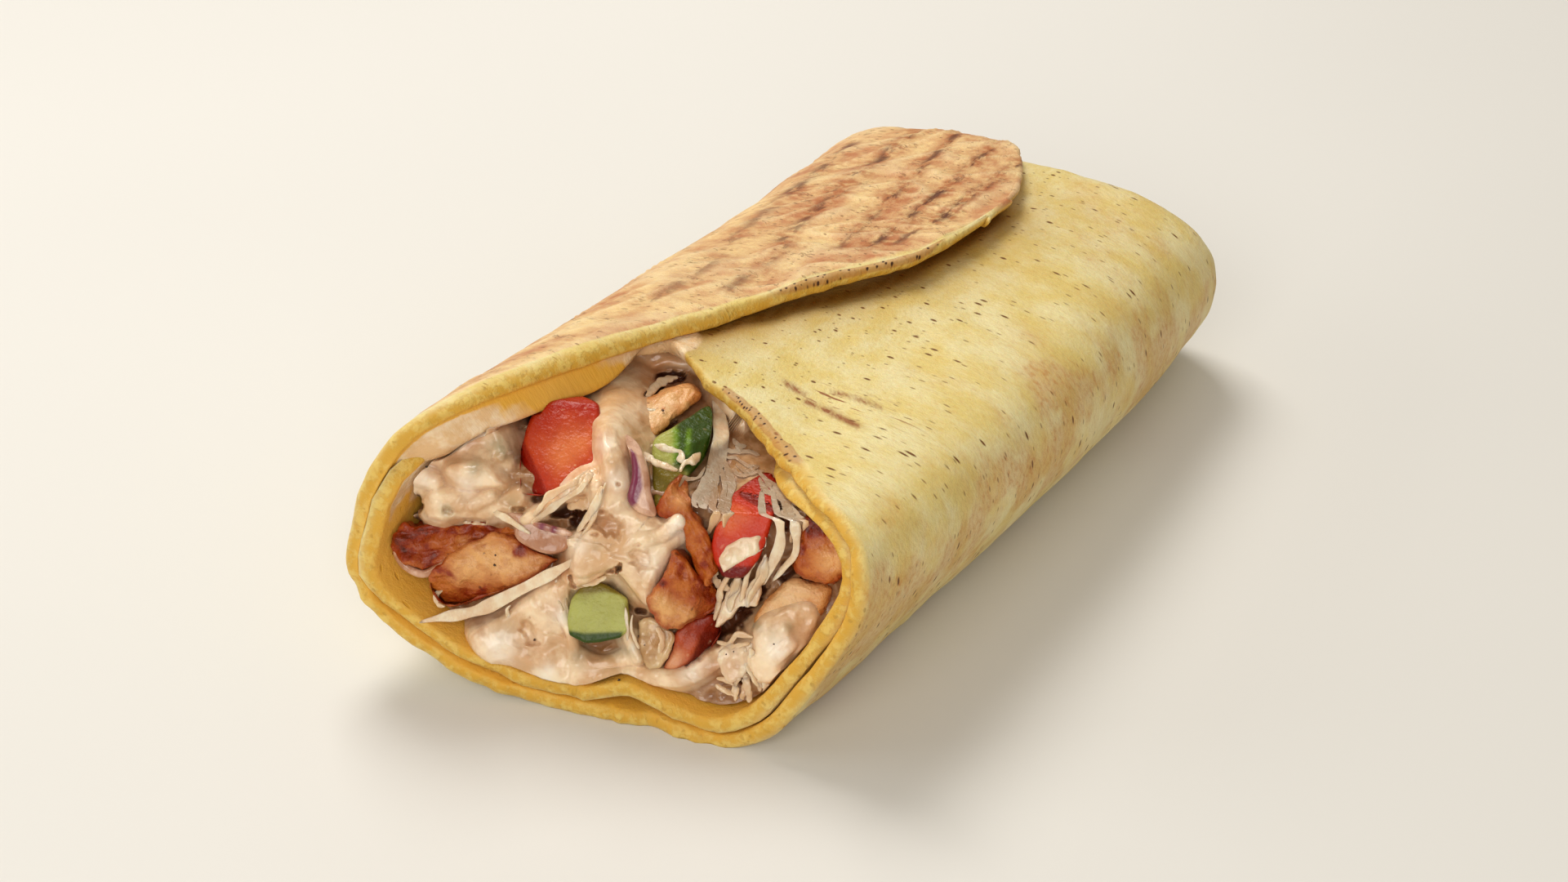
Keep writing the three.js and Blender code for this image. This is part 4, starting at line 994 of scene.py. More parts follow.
def heapFinish():
    finish, tree, shader = newFinish("heap_sauced", 0.30, coat=0.3, coatRoughness=0.06,
                                     subsurface=0.2, radius=(1.6, 0.9, 0.5))
    place = objectCoords(tree)
    sauced = blendColor(tree, patchMask(tree, place, 150, 4, 0.36, 0.64), heap["cream"], heap["peach"])
    shreds = blendColor(tree, patchMask(tree, place, 500, 3, 0.35, 0.65), heap["shredTone"], heap["peach"])
    color = blendColor(tree, mask(tree, "sauce"), shreds, sauced)
    uneven = patchMask(tree, place, 320, 4, 0.3, 0.6)
    # spots laid over the colour: painted highlights, warm brown places that are partly painted shade, and
    # thin grey places
    for label, shade in (("highlightSpots", "highlightTone"), ("brownAndShaded", "brownShadeTone"), ("glassy", "glassTone")):
        color = lay(tree, color, heap[shade], mask(tree, label), scaled(tree, uneven, 0.45, 0.55))
    # painted shade: browner in its folds and dark in its hollows; painted highlight: paler on its crests
    curve = addNode(tree, "NewGeometry").outputs["Pointiness"]
    color = lay(tree, color, heap["creaseShadeTone"], remap(tree, curve, 0.49, 0.42, 0.0, 0.5))
    color = lay(tree, color, heap["highlightTone"], remap(tree, curve, 0.52, 0.58, 0.0, 0.22))
    color = lay(tree, color, heap["shadeTone"], mask(tree, "deep"), 0.92)
    tree.links.new(color, shader.inputs["Base Color"])
    swirls = addNode(tree, "TexNoise", {"Vector": place, "Scale": 300.0, "Detail": 2.0,
                                        "Distortion": 0.4}).outputs["Fac"]
    drops = times(tree, grainHeight(tree, place, 900), 0.2)
    setBump(tree, shader, scaled(tree, swirls, 1.4, drops), 0.35, 0.0006)
    return finish


makeHeap()
print("heap filled")

# Cut pieces

cutDefaults = {"stand": 0.0, "slope": (0.1, 0.1), "depth": 14, "round": 1.8, "crown": 0.0, "rows": 60,
               "columns": 44, "sideRows": 12, "lumps": (0.0, 3.0), "fibres": (0.0, 1.0), "spots": [],
               "skin": [], "shade": [], "bright": [], "crisp": 0.0, "facets": []}


# Share of each point that lies inside any of some outlines on the face, soft over their edges.
def insideAny(r, u, outlines):
    return np.clip(sum((smoothStep(-0.4, 0.4, insideBy(r, u, np.array(outline, float)))
                        for outline in outlines), 0 * r), 0, 1)


# A cut piece: its outline is split into two sides and spanned row by row; the front falls off
# towards the outline like a quarter circle, and the sides run back into the roll.
def cutPiece(name, finish, slot, spec, *replaced):
    spec = {**cutDefaults, **spec}
    corners, perSide = np.array(spec["outline"], float), 8
    if spec["crisp"]:                          # each side keeps its middle straight
        ahead = np.roll(corners, -1, axis=0) - corners
        corners = np.stack([corners + spec["crisp"] * ahead,
                            corners + (1 - spec["crisp"]) * ahead], 1).reshape(-1, 2)
        perSide = 16
    outline = smoothCurve(corners, 8, True)
    start, stop = (perSide * k for k in spec["ends"])
    share = (1 - np.cos(np.linspace(0, np.pi, spec["rows"]))) / 2
    one = atShares(outline[start:stop + 1], share)
    two = atShares(np.vstack([outline[stop:], outline[:start + 1]])[::-1], share)
    across = -np.cos(np.linspace(0, np.pi, spec["columns"]))
    front = (one[:, None] * (1 - across[:, None]) + two[:, None] * (1 + across[:, None])) / 2
    middle = np.mean(spec["outline"], axis=0)
    base = frontOut(*middle) + spec["stand"]

    def plane(place):                          # the flat, tilted face that the front starts from
        return (base + spec["slope"][0] * (place[..., 0] - middle[0])
                + spec["slope"][1] * (place[..., 1] - middle[1]))

    size = np.linalg.norm(np.array(spec["outline"]) - middle, axis=1).max()
    away = np.linalg.norm(front - middle, axis=-1) / size
    top = plane(front) + spec["crown"] * (1 - away**2)
    facets = np.zeros(top.shape)
    for fr, fu, rise, climb in spec["facets"]:  # a facet leaves the front at (r, u) with its own slope
        facet = plane(np.array([fr, fu])) + rise * (front[..., 0] - fr) + climb * (front[..., 1] - fu)
        facets = np.maximum(facets, smoothStep(-0.3, 0.5, top - facet))
        top = 0.5 * (top + facet - np.sqrt((top - facet) ** 2 + 0.2))
    gap = np.maximum(insideBy(front[..., 0], front[..., 1], outline), 0)
    near = 1 - np.clip(gap / spec["round"], 0, 1)
    top = top - spec["round"] * (1 - np.sqrt(np.maximum(1 - near**2, 0)))
    # the two sides, from the outline back into the roll
    down = np.linspace(0, 1, spec["sideRows"] + 1)[1:] ** 1.3
    sides = [two[:, None] + 0 * down[:, None], one[:, None] + 0 * down[::-1, None]]
    levels = [plane(side) - spec["round"] - (spec["depth"] - spec["round"]) * d
              for side, d in zip(sides, (down, down[::-1]))]
    place = np.concatenate([front, *sides], axis=1)
    r, u = place[..., 0], place[..., 1]
    out = np.concatenate([top, *levels], axis=1)
    points = onFace(r, u, out)
    # fibres run from end to end
    seed = sum(map(ord, name))
    run = np.array(spec["outline"][spec["ends"][1]]) - spec["outline"][spec["ends"][0]]
    run = run / np.linalg.norm(run)
    grainwise = np.stack([place @ run * 0.22, place @ np.array([-run[1], run[0]]), out * 0.6], -1)
    fibre = 1 - 2 * np.abs(lumps(grainwise, spec["fibres"][1], seed + 1))
    relief = (spec["lumps"][0] * (lumps(points, spec["lumps"][1], seed) + 0.3 * lumps(points, 0.9, seed + 3))
              + spec["fibres"][0] * fibre)
    closedEnds = np.minimum(1, np.minimum(share, 1 - share) * 40)[:, None]
    side = gridSide(points, len(points) // 2, 18, faceOut)
    points = points + gridNormals(points, True) * (relief * closedEnds)[..., None] * side
    points, _ = pressIntoRoll(points, 0.05)
    ones = np.ones(levels[0].shape)
    masks = {"spots": faceSpots(r, u, spec["spots"]), "bright": faceSpots(r, u, spec["bright"]),
             "skin": insideAny(r, u, spec["skin"]), "shade": insideAny(r, u, spec["shade"]),
             "edge": np.concatenate([near, ones, ones], axis=1),
             "facet": np.concatenate([facets, 0 * ones, 0 * ones], axis=1),
             "buried": np.concatenate([0 * top, down * ones, down[::-1] * ones], axis=1)}
    piece = makeMesh(name, points, gridFaces(*points.shape[:2], True), masks=masks, merge=poleGap)
    settle(piece, finish, slot, *replaced)


# Roast flesh, browned at its edges and on its spots, which are dark in the middle; browner where its fibres
# part, as painted shade in those crevices.
def chickenFinish(name, flesh, browned, dark, cream, amount):
    finish, tree, shader = newFinish(name, 0.42, coat=0.16, coatRoughness=0.12, specular=0.3,
                                     subsurface=0.06, radius=(1.6, 0.7, 0.35))
    place = objectCoords(tree)
    patch = patchMask(tree, place, 200, 6, 0.42, 0.60)
    small = patchMask(tree, place, 620, 4, 0.42, 0.68)
    mottled = patchMask(tree, place, 380, 6, 0.46, 0.60)
    color = blendColor(tree, times(tree, patch, amount), flesh, browned)
    color = lay(tree, color, browned, mottled, amount)
    color = lay(tree, color, cream, mask(tree, "bright"), scaled(tree, mottled, -0.3, 0.95))
    rind = remap(tree, mask(tree, "edge"), 0.3, 1.0)
    color = lay(tree, color, browned, rind, scaled(tree, patch, 0.5, 0.3))
    spot = times(tree, mask(tree, "spots"), scaled(tree, patch, 0.5, 0.35))
    color = lay(tree, color, browned, remap(tree, spot, 0.05, 0.5))
    color = lay(tree, color, dark, remap(tree, spot, 0.2, 0.85), scaled(tree, small, 0.5, 0.45))
    color = lay(tree, color, dark, fleckMask(tree, place, 420, 0.2, 0.22), 0.6)
    # painted shade: browner where the surface curves in
    curve = addNode(tree, "NewGeometry").outputs["Pointiness"]
    color = lay(tree, color, browned, remap(tree, curve, 0.49, 0.42, 0.0, 0.6))
    tree.links.new(color, shader.inputs["Base Color"])
    setBump(tree, shader, grainHeight(tree, place, 480), 0.9, 0.0008)
    return finish


cellTone = tone(244, 206, 160)                 # pale cells in the juicy flesh


# Juicy flesh, with skin, painted shade and bright places given as masks; the bright places are paler flesh
# and skin stripes, and on the tomatoes partly a painted highlight.
def fleshFinish(name, flesh, deep, skin, bright, uneven=0.6, radius=(1.2, 0.6, 0.3)):
    finish, tree, shader = newFinish(name, 0.38, coat=0.08, coatRoughness=0.05, specular=0.3,
                                     subsurface=0.12, radius=radius)
    place = objectCoords(tree)
    patch = patchMask(tree, place, 160, 5, 0.38, 0.62)
    cells = fleckMask(tree, place, 520, 0.26, 0.35)
    paleAndGlare = mask(tree, "bright")
    color = blendColor(tree, times(tree, patch, uneven), flesh, deep)
    color = lay(tree, color, deep, remap(tree, mask(tree, "edge"), 0.1, 1.0), uneven)
    color = lay(tree, color, deep, mask(tree, "spots"), 0.85)
    color = lay(tree, color, skin, mask(tree, "facet"), 0.85)
    # painted shade where the piece lies in shadow
    color = lay(tree, color, deep, mask(tree, "shade"), 0.9)
    color = lay(tree, color, skin, mask(tree, "skin"))
    # paler flesh and skin stripes, on the tomatoes partly a painted highlight
    color = lay(tree, color, bright, paleAndGlare, scaled(tree, patch, -0.3, 0.95))
    color = lay(tree, color, cellTone, cells, scaled(tree, paleAndGlare, 0.35, 0.15))
    color = lay(tree, color, skin, mask(tree, "buried"), 0.7)
    tree.links.new(color, shader.inputs["Base Color"])
    setBump(tree, shader, grainHeight(tree, place, 460), 0.8, 0.0007)
    return finish


soakedTone = tone(212, 158, 104)               # shreds that the juices have turned tan


# Thin veined leaf: shaded in patches and along its veins, tinted on its spots and skin.
def leafFinish(name, pale, shaded, tint, subsurface=0.5):
    finish, tree, shader = newFinish(name, 0.30, coat=0.35, coatRoughness=0.06, subsurface=subsurface,
                                     radius=(2.4, 1.9, 1.2))
    place = objectCoords(tree)
    veins = patchMask(tree, stretched(tree, place, (1, 1, 0.35)), 800, 2, 0.4, 0.6)
    color = blendColor(tree, patchMask(tree, place, 170, 4, 0.38, 0.62), pale, shaded)
    for shade, share, strength in ((shaded, veins, 0.3), (soakedTone, mask(tree, "soaked"), 0.8),
                                   (tint, mask(tree, "spots"), 0.95), (tint, mask(tree, "skin"), 0.95),
                                   (shaded, mask(tree, "shade"), 0.8)):
        color = lay(tree, color, shade, share, strength)
    tree.links.new(color, shader.inputs["Base Color"])
    setBump(tree, shader, scaled(tree, veins, 0.4, grainHeight(tree, place, 380)), 0.3, 0.0004)
    return finish


roastChicken = chickenFinish("chicken_roast", tone(190, 104, 34), tone(148, 46, 4), tone(62, 10, 0),
                             tone(228, 172, 108), 0.4)
paleChicken = chickenFinish("chicken_pale", tone(224, 170, 108), tone(200, 122, 56), tone(110, 42, 12),
                            tone(236, 196, 146), 0.35)
tomatoPale = fleshFinish("tomato_pale", tone(184, 58, 16), tone(168, 30, 4), tone(140, 10, 0),
                         tone(212, 112, 58))
tomatoRed = fleshFinish("tomato_red", tone(202, 50, 12), tone(184, 32, 4), tone(112, 8, 2),
                        tone(222, 104, 46))
tomatoSauced = fleshFinish("tomato_sauced", tone(184, 78, 38), tone(140, 36, 12), tone(104, 18, 6),
                           tone(222, 156, 112))
cucumberFlesh = fleshFinish("cucumber_flesh", tone(176, 178, 92), tone(112, 92, 4), tone(46, 68, 0),
                            tone(112, 150, 8), 0.15, (0.6, 0.9, 0.2))
onionFlesh = leafFinish("onion_flesh", tone(218, 176, 148), tone(176, 122, 90), tone(112, 0, 62), 0.2)
onionClear = leafFinish("onion_clear", tone(226, 196, 150), tone(190, 148, 100), tone(236, 214, 170), 0.5)
onionPeel = leafFinish("onion_peel", tone(64, 8, 24), tone(38, 4, 14), tone(150, 84, 140), 0.1)
cabbageLeaf = leafFinish("cabbage_leaf", tone(244, 224, 194), tone(222, 186, 150), tone(252, 240, 222))
pepperFlesh = leafFinish("pepper_flesh", tone(196, 190, 60), tone(150, 142, 24), tone(226, 220, 150), 0.2)

chickenPieces = [
    ["chicken_center", roastChicken, {
        "outline": [[8.5, 3.4], [11, 2], [13, -1], [16, -4], [17.4, -7], [14, -9.2], [11, -11], [8, -11.6],
                    [5, -9.8], [3.8, -6], [5.6, -3], [7.4, -0.5]],
        "ends": (0, 7), "stand": 6, "slope": (-0.1, 0.25), "depth": 15, "crown": 1.2, "lumps": (0.7, 2.6),
        "round": 1.3, "fibres": (0.22, 1.0), "facets": [[13.6, -4, -1.1, 0.3]],
        "spots": [[6.4, -2.8, 1.0, 0.9], [13.5, -2, 2.2, 0.6], [9, 1.5, 1.8, 0.6], [16, -6, 1.8, 0.7],
                  [12, -5, 2, 0.4], [15, -3.4, 1.2, 0.7], [10, -1, 1.6, 0.5]],
        "bright": [[7, -8.6, 2.6, 0.9], [5.6, -6.4, 1.6, 0.8], [11, -9.4, 2, 0.6]]}],
    ["chicken_middle", roastChicken, {
        "outline": [[5.2, 10.8], [7.2, 14.5], [10.2, 18], [11.7, 13], [13.2, 9.5], [15.6, 5], [16.6, 1],
                    [15.8, -3], [14.2, -3.4], [12.6, 0.6], [11.6, 3], [11, 6], [9, 9.4]],
        "ends": (0, 8), "stand": 3.2, "depth": 13, "lumps": (0.7, 2.0), "fibres": (0.18, 0.9), "crown": 0.6,
        "spots": [[13.4, 6, 1.4, 0.8], [14.4, 1, 1.3, 0.8], [15.4, 3.4, 1.0, 0.7], [12.4, 10, 1.2, 0.4]],
        "bright": [[10, 14, 2.4, 0.7]]}],
    ["chicken_top", paleChicken, {
        "outline": [[0.9, 31.5], [3, 33.3], [6, 34.6], [9.8, 35.6], [12, 35.2], [13.2, 33.4], [10.5, 30.7],
                    [7.5, 28.6], [5, 25.6], [2.6, 26.4], [0.9, 28]],
        "ends": (4, 8), "stand": 3.5, "slope": (0, -1), "depth": 12, "lumps": (0.5, 3), "fibres": (0.2, 1.2),
        "spots": [[12, 33.6, 1.6, 0.7], [5.8, 30.4, 0.5, 0.9], [9, 31, 1.4, 0.3]],
        "bright": [[3.4, 29.6, 2.6, 1.0], [7, 31.6, 2, 0.8]]}],
    ["chicken_right", roastChicken, {
        "outline": [[32.4, 6.4], [34.4, 10], [36, 12], [38.4, 11.4], [41, 7.5], [43.5, 4.5], [43.5, 2],
                    [41, -1.2], [38.5, -2.8], [34, -1.8], [31.8, 0], [32, 3.6]],
        "ends": (2, 8), "stand": 1.8, "depth": 14, "crown": 0.8, "lumps": (0.55, 3), "fibres": (0.16, 1.2),
        "spots": [[36.6, 10, 2.4, 1.0], [37.4, 8, 1.6, 0.9], [34.8, 7.4, 1.6, 0.8], [32.8, 3.4, 1.6, 0.9],
                  [38.6, 3.4, 0.6, 0.6], [41.6, 5.6, 1.2, 0.5], [33.4, 0.6, 1.2, 0.6]],
        "bright": [[38.6, 1.6, 2.8, 0.9], [41.6, 2, 2.4, 0.9]]}],
    ["chicken_slab", paleChicken, {
        "outline": [[23.6, -11], [25.4, -7.4], [28, -4.4], [31, -2], [34.5, -2.8], [38.6, -3.6], [37.5, -8],
                    [34, -14], [29, -15.4], [25, -14]],
        "ends": (0, 6), "stand": 1, "depth": 16, "lumps": (0.5, 4), "fibres": (0.1, 1.4),
        "spots": [[35, -9, 2.2, 0.3], [26, -6, 2, 0.35]],
        "bright": [[31, -6, 4, 0.9], [28, -9, 3, 0.8]]}],
    ["chicken_left_lower", roastChicken, {
        "outline": [[-39.5, -1.5], [-36, 1.4], [-33, 3.9], [-27, 6.4], [-22, 5.2], [-19, 3], [-14.4, 1.3],
                    [-18.5, -1.4], [-24, -4.2], [-29, -6], [-36, -7.9], [-39.3, -5]],
        "ends": (0, 6), "stand": 2.8, "depth": 15, "crown": 0.9, "lumps": (0.6, 2.6), "fibres": (0.14, 0.9),
        "round": 1.2, "facets": [[-30, -2.6, 0.2, 1.1]],
        "spots": [[-33, -5.6, 2.6, 1.0], [-29, -5, 1.8, 0.7], [-36, -2, 1.6, 0.6], [-38, -1, 1.4, 0.5],
                  [-22, 3.4, 1.8, 0.9], [-24, -2.4, 1.2, 0.5]],
        "bright": [[-29, 1.6, 4.4, 1.0], [-23.6, 0.6, 3.4, 0.9], [-33.6, -1, 2.6, 0.7],
                   [-18.6, 0.6, 2.4, 0.7]]}],
    ["chicken_left_upper", roastChicken, {
        "outline": [[-47.6, 5], [-46, 7.4], [-40, 8], [-34, 8.4], [-28, 8.8], [-23, 7.8], [-22.8, 5],
                    [-30, 2.4], [-37, 0.6], [-42, -0.6], [-45.3, 1], [-47.6, 3.2]],
        "ends": (0, 5), "stand": 0.6, "depth": 15, "crown": 0.6, "lumps": (1.0, 1.9), "fibres": (0.2, 0.8),
        "round": 1.2,
        "spots": [[-42, 3, 3.2, 0.9], [-36, 6.6, 2.6, 0.9], [-45, 5, 2.6, 0.9], [-31, 7, 2.2, 0.7],
                  [-40, 0.6, 2, 0.8], [-27, 7.6, 2, 0.7], [-40, 6.6, 2.4, 0.7], [-37, 3, 1.6, 0.5]],
        "bright": [[-33, 5, 1.6, 0.4]]}],
]
for name, finish, spec in chickenPieces:
    cutPiece(name, finish, "chicken", {**spec, "columns": 48, "rows": 72}, name)

vegetablePieces = [
    ["tomato_left", tomatoPale, "tomato", {
        "outline": [[-21.4, 14.4], [-17.5, 13.8], [-13.5, 14.8], [-9, 17.2], [-6.2, 21], [-5.8, 26.5],
                    [-6.5, 31.5], [-10, 33.2], [-16, 32.3], [-19.6, 29.5], [-21.6, 23]],
        "ends": (0, 7), "stand": 4.9, "slope": (0.1, -0.5), "depth": 16, "round": 0.9, "crown": 0.5,
        "lumps": (0.16, 3.2), "fibres": (0.05, 1.0), "crisp": 0.16,
        "facets": [[-19.4, 21, 1.3, 0.1]],
        "shade": [[[-22, 30.6], [-12, 30.4], [-4, 30], [-4, 36], [-22, 36]]],
        "bright": [[-12.6, 22.6, 3.6, 0.9], [-9.4, 24.6, 2.6, 0.7], [-14, 19.6, 2.2, 0.4]],
        "spots": [[-9, 17.6, 2.4, 0.6], [-17.6, 16.4, 3, 0.8], [-16, 28.4, 2.6, 0.6], [-8, 29.6, 2, 0.6]]}],
    ["tomato_right", tomatoRed, "tomato", {
        "outline": [[15.9, 4.5], [16.7, 8], [20, 12.5], [24.5, 17.6], [27, 18.6], [28.8, 15.5], [28, 10.5],
                    [26.5, 6], [25.2, 2], [22, -1.9], [18, -1.8], [16.4, 1.5]],
        "ends": (4, 10), "stand": 1.6, "depth": 14, "round": 0.9, "crown": 0.7, "lumps": (0.16, 3.4),
        "crisp": 0.16, "facets": [[27.6, 13, -1.6, -0.1]],
        "skin": [[[15, -4], [26, -4], [25, 0.4], [16, 0.4]]],
        "bright": [[21, 10.4, 2.6, 0.8], [23.4, 13, 2, 0.5], [19, 8, 1.6, 0.6]],
        "spots": [[17.2, 4.8, 1.8, 0.9], [26, 16, 2.4, 0.9], [24.6, 6, 1.6, 0.5]]}],
    ["tomato_lower", tomatoSauced, "tomato", {
        "outline": [[8.6, -12.4], [13, -9.6], [16.4, -9.4], [17.6, -12.5], [15.4, -16], [12, -18.5],
                    [9, -20.2], [6.3, -19.9], [8, -16]],
        "ends": (2, 7), "stand": 0.1, "depth": 12, "round": 1.0, "lumps": (0.35, 2.4), "crisp": 0.16,
        "facets": [[13.6, -13.4, -0.9, 0.6]], "bright": [[9, -17.6, 1.6, 0.9], [8, -19.4, 1.4, 0.9]],
        "shade": [[[12, -9], [18, -8], [18, -13], [13, -12.4]]], "spots": [[14, -12, 3, 0.8]]}],
    ["cucumber_lower", cucumberFlesh, "cucumber", {
        "outline": [[-12, -13.4], [-12.4, -10], [-11.6, -6.4], [-9.6, -3.8], [-7, -2.6], [-4, -4],
                    [-0.6, -6.2], [-0.2, -12], [-2, -13.8], [-6, -14.8], [-9, -14.8]],
        "ends": (1, 7), "stand": 4.2, "slope": (0.1, -0.1), "depth": 12, "round": 0.7, "crown": 0.2,
        "lumps": (0.1, 3.0), "crisp": 0.14,
        "skin": [[[-13.4, -12.2], [-9, -12.9], [-4.6, -12.7], [-1.6, -12.6], [-1.6, -16], [-13.4, -16]]],
        "shade": [[[-13, -5.4], [-9.6, -5.2], [-5, -4.9], [0.4, -6], [0.4, -1], [-13, -1]]],
        "spots": [[-9, -4.6, 2.0, 0.6], [-0.8, -8, 0.9, 0.7]]}],
    ["cucumber_upper", cucumberFlesh, "cucumber", {
        "outline": [[4.4, 24.6], [8, 27], [11, 29], [15, 31.2], [15.6, 27], [14.6, 22], [12.6, 19],
                    [8.8, 15], [5.4, 11], [4.4, 15], [4.2, 20]],
        "ends": (3, 8), "stand": 5, "slope": (0.1, -0.5), "depth": 13, "round": 0.9, "lumps": (0.1, 3.0),
        "facets": [[12.6, 25, -0.8, -0.3]],
        "skin": [[[8.6, 27.6], [8.6, 23], [8.4, 19.6], [12, 18], [17, 24], [16, 33], [12, 31]]],
        "bright": [[8.6, 26.6, 0.7, 1], [8.6, 25.2, 0.7, 1], [8.6, 23.8, 0.7, 1], [8.6, 22.4, 0.7, 1],
                   [8.6, 21, 0.7, 0.9], [11.4, 28, 0.5, 0.9], [11.3, 27, 0.5, 1], [11.2, 26, 0.5, 1],
                   [11.2, 25, 0.5, 1], [11.1, 24, 0.5, 0.9], [11, 23, 0.5, 0.8], [11, 22, 0.5, 0.6]],
        "shade": [[[2, 20.4], [6, 19.8], [10.4, 19.4], [11, 14], [8, 9], [2, 9]]]}],
    ["onion_upper", onionFlesh, "onion", {
        "outline": [[-0.8, 25.6], [1.8, 23.5], [3.6, 19], [4.2, 14.5], [5.2, 10.2], [2.5, 10.4],
                    [1, 11.4], [-0.3, 13.4], [0.5, 18], [0, 22]],
        "ends": (0, 4), "stand": 4.6, "slope": (0.1, -0.1), "depth": 7, "round": 1.4, "crown": 0.3,
        "lumps": (0.1, 3),
        "skin": [[[0.2, 23.6], [1.2, 22.2], [2.2, 19], [2.6, 15.4], [1.6, 12.4], [0.2, 11.2],
                  [-0.8, 13.2], [0.3, 17]]]}],
    ["onion_lower", onionClear, "onion", {
        "outline": [[1.6, -10.6], [4.2, -10.2], [8, -12.4], [8.6, -13.6], [7.6, -16], [5.9, -19.8],
                    [3.5, -20.4], [1.5, -17]],
        "ends": (0, 5), "stand": 1.4, "depth": 6, "round": 0.7, "crisp": 0.16, "lumps": (0.5, 1.9)}],
    ["onion_left", onionFlesh, "onion", {
        "outline": [[-27, 11.4], [-22.5, 9.2], [-22.4, 6.3], [-20, 3.7], [-15, 2.2], [-12, 4.2],
                    [-12, 6.6], [-17, 8.3], [-19, 9.3], [-22, 10.6]],
        "ends": (0, 5), "stand": 2.6, "depth": 5, "round": 0.8, "lumps": (0.3, 2.2),
        "shade": [[[-24, 9], [-22, 5], [-18, 3], [-13, 2.4], [-11, 5], [-16, 6.6], [-20, 8]]]}],
    ["cabbage_piece_front", cabbageLeaf, "cabbage", {
        "outline": [[17, 1.6], [19, 4.3], [22, 6], [26.2, 6.3], [26.3, 4.2], [24, 2.7], [20.5, 0.6],
                    [18, -1.1]],
        "ends": (0, 4), "stand": 4.2, "depth": 2.2, "round": 0.5, "crisp": 0.16, "lumps": (0.3, 1.8),
        "facets": [[24.6, 4.6, -0.9, 0.2]],
        "shade": [[[16, 2.4], [19, 5], [22, 6.8], [27, 7], [27, 5.4], [22, 4.8], [19, 2.8], [17, 0]]]}],
    ["cabbage_piece_lower", cabbageLeaf, "cabbage", {
        "outline": [[20, -2.2], [22.4, -2.4], [25.4, -3], [24.6, -7.6], [21.6, -7.2], [18.6, -10.6],
                    [16.4, -11.6], [18, -6.6]],
        "ends": (2, 6), "stand": 3, "depth": 3.4, "round": 0.6, "crisp": 0.16, "lumps": (0.45, 1.7)}],
    ["cabbage_piece_corner", cabbageLeaf, "cabbage", {
        "outline": [[17, -16.4], [20, -14.8], [24, -14.4], [23.6, -18], [22, -21], [19.5, -22.4],
                    [17.2, -20]],
        "ends": (0, 4), "stand": 2.4, "depth": 3.4, "round": 0.6, "crisp": 0.16, "lumps": (0.5, 1.7)}],
]
for name, finish, slot, spec in vegetablePieces:
    cutPiece(name, finish, slot, spec, name)
print("cut pieces laid")

# Shreds and strips

stripDefaults = {"width": 3.0, "thick": 1.4, "twist": 0.0, "cup": 0.15, "rows": 70, "columns": 20,
                 "wave": 0.16, "taper": 0.4, "spots": [], "seed": 1, "tan": 0.0, "widths": [1, 1]}


# A strip: a flattened, slightly cupped oval carried along a path of [r, u, stand], thinning to
# rounded ends, its edges wandering a little.
def stripPoints(spec):
    path = atShares(smoothCurve(spec["path"], 12, False), np.linspace(0, 1, spec["rows"]))
    r, u, stand = path.T
    centre = onFace(r, u, frontOut(r, u) + stand)
    ahead = np.gradient(centre, axis=0)
    ahead /= np.linalg.norm(ahead, axis=1, keepdims=True)
    out = faceOut - (ahead @ faceOut)[:, None] * ahead
    out /= np.linalg.norm(out, axis=1, keepdims=True)
    side = np.cross(ahead, out)
    t = np.linspace(0, 1, spec["rows"])
    seed = spec["seed"]
    turn = (spec["twist"] * t + 0.5 * spec["wave"] * np.sin(9 * t + seed))[:, None]
    across, up = side * np.cos(turn) + out * np.sin(turn), out * np.cos(turn) - side * np.sin(turn)
    ends = np.sqrt(np.clip(1 - np.abs(2 * t - 1) ** (2 / spec["taper"]), 0, 1))
    wander = 1 + spec["wave"] * lumps(np.stack([t * 9, 0 * t, 0 * t], -1), 1.0, seed)
    widths = np.interp(t, np.linspace(0, 1, len(spec["widths"])), spec["widths"])
    width = (0.5 * spec["width"] * ends * wander * widths)[:, None]
    thick = (0.5 * spec["thick"] * np.sqrt(ends))[:, None]
    around = np.linspace(0, 2 * np.pi, spec["columns"], endpoint=False)
    c, s = np.cos(around), np.sin(around)
    a = np.sign(c) * np.abs(c) ** 0.9
    b = np.sign(s) * np.abs(s) ** 0.85
    bowl = spec["cup"] * (a**2 - 0.4)
    points = (centre[:, None] + across[:, None] * (width * a)[..., None]
              + up[:, None] * (thick * b + width * bowl)[..., None])
    ripples = 0.08 * lumps(points, (1.1, 1.1, 3.0), seed + 2)
    points = points + up[:, None] * (ripples * ends[:, None])[..., None]
    points, _ = pressIntoRoll(points, 0.02)
    return points, {"spots": faceSpots(r, u, spec["spots"])[:, None] + 0 * a,
                    "soaked": spec["tan"] + 0 * width * a}


# Several strips in one mesh: the grids are laid end to end and their faces numbered on.
def laidStrips(name, finish, slot, specs, *replaced):
    grids, marks = zip(*(stripPoints({**stripDefaults, **spec}) for spec in specs))
    starts = np.cumsum([0] + [grid.shape[0] * grid.shape[1] for grid in grids])
    faces = np.concatenate([gridFaces(*grid.shape[:2], True) + start for grid, start in zip(grids, starts)])
    points = np.concatenate([grid.reshape(-1, 3) for grid in grids])
    masks = {label: np.concatenate([mark[label].ravel() for mark in marks]) for label in ("spots", "soaked")}
    settle(makeMesh(name, points, faces, masks=masks, merge=poleGap), finish, slot, *replaced)


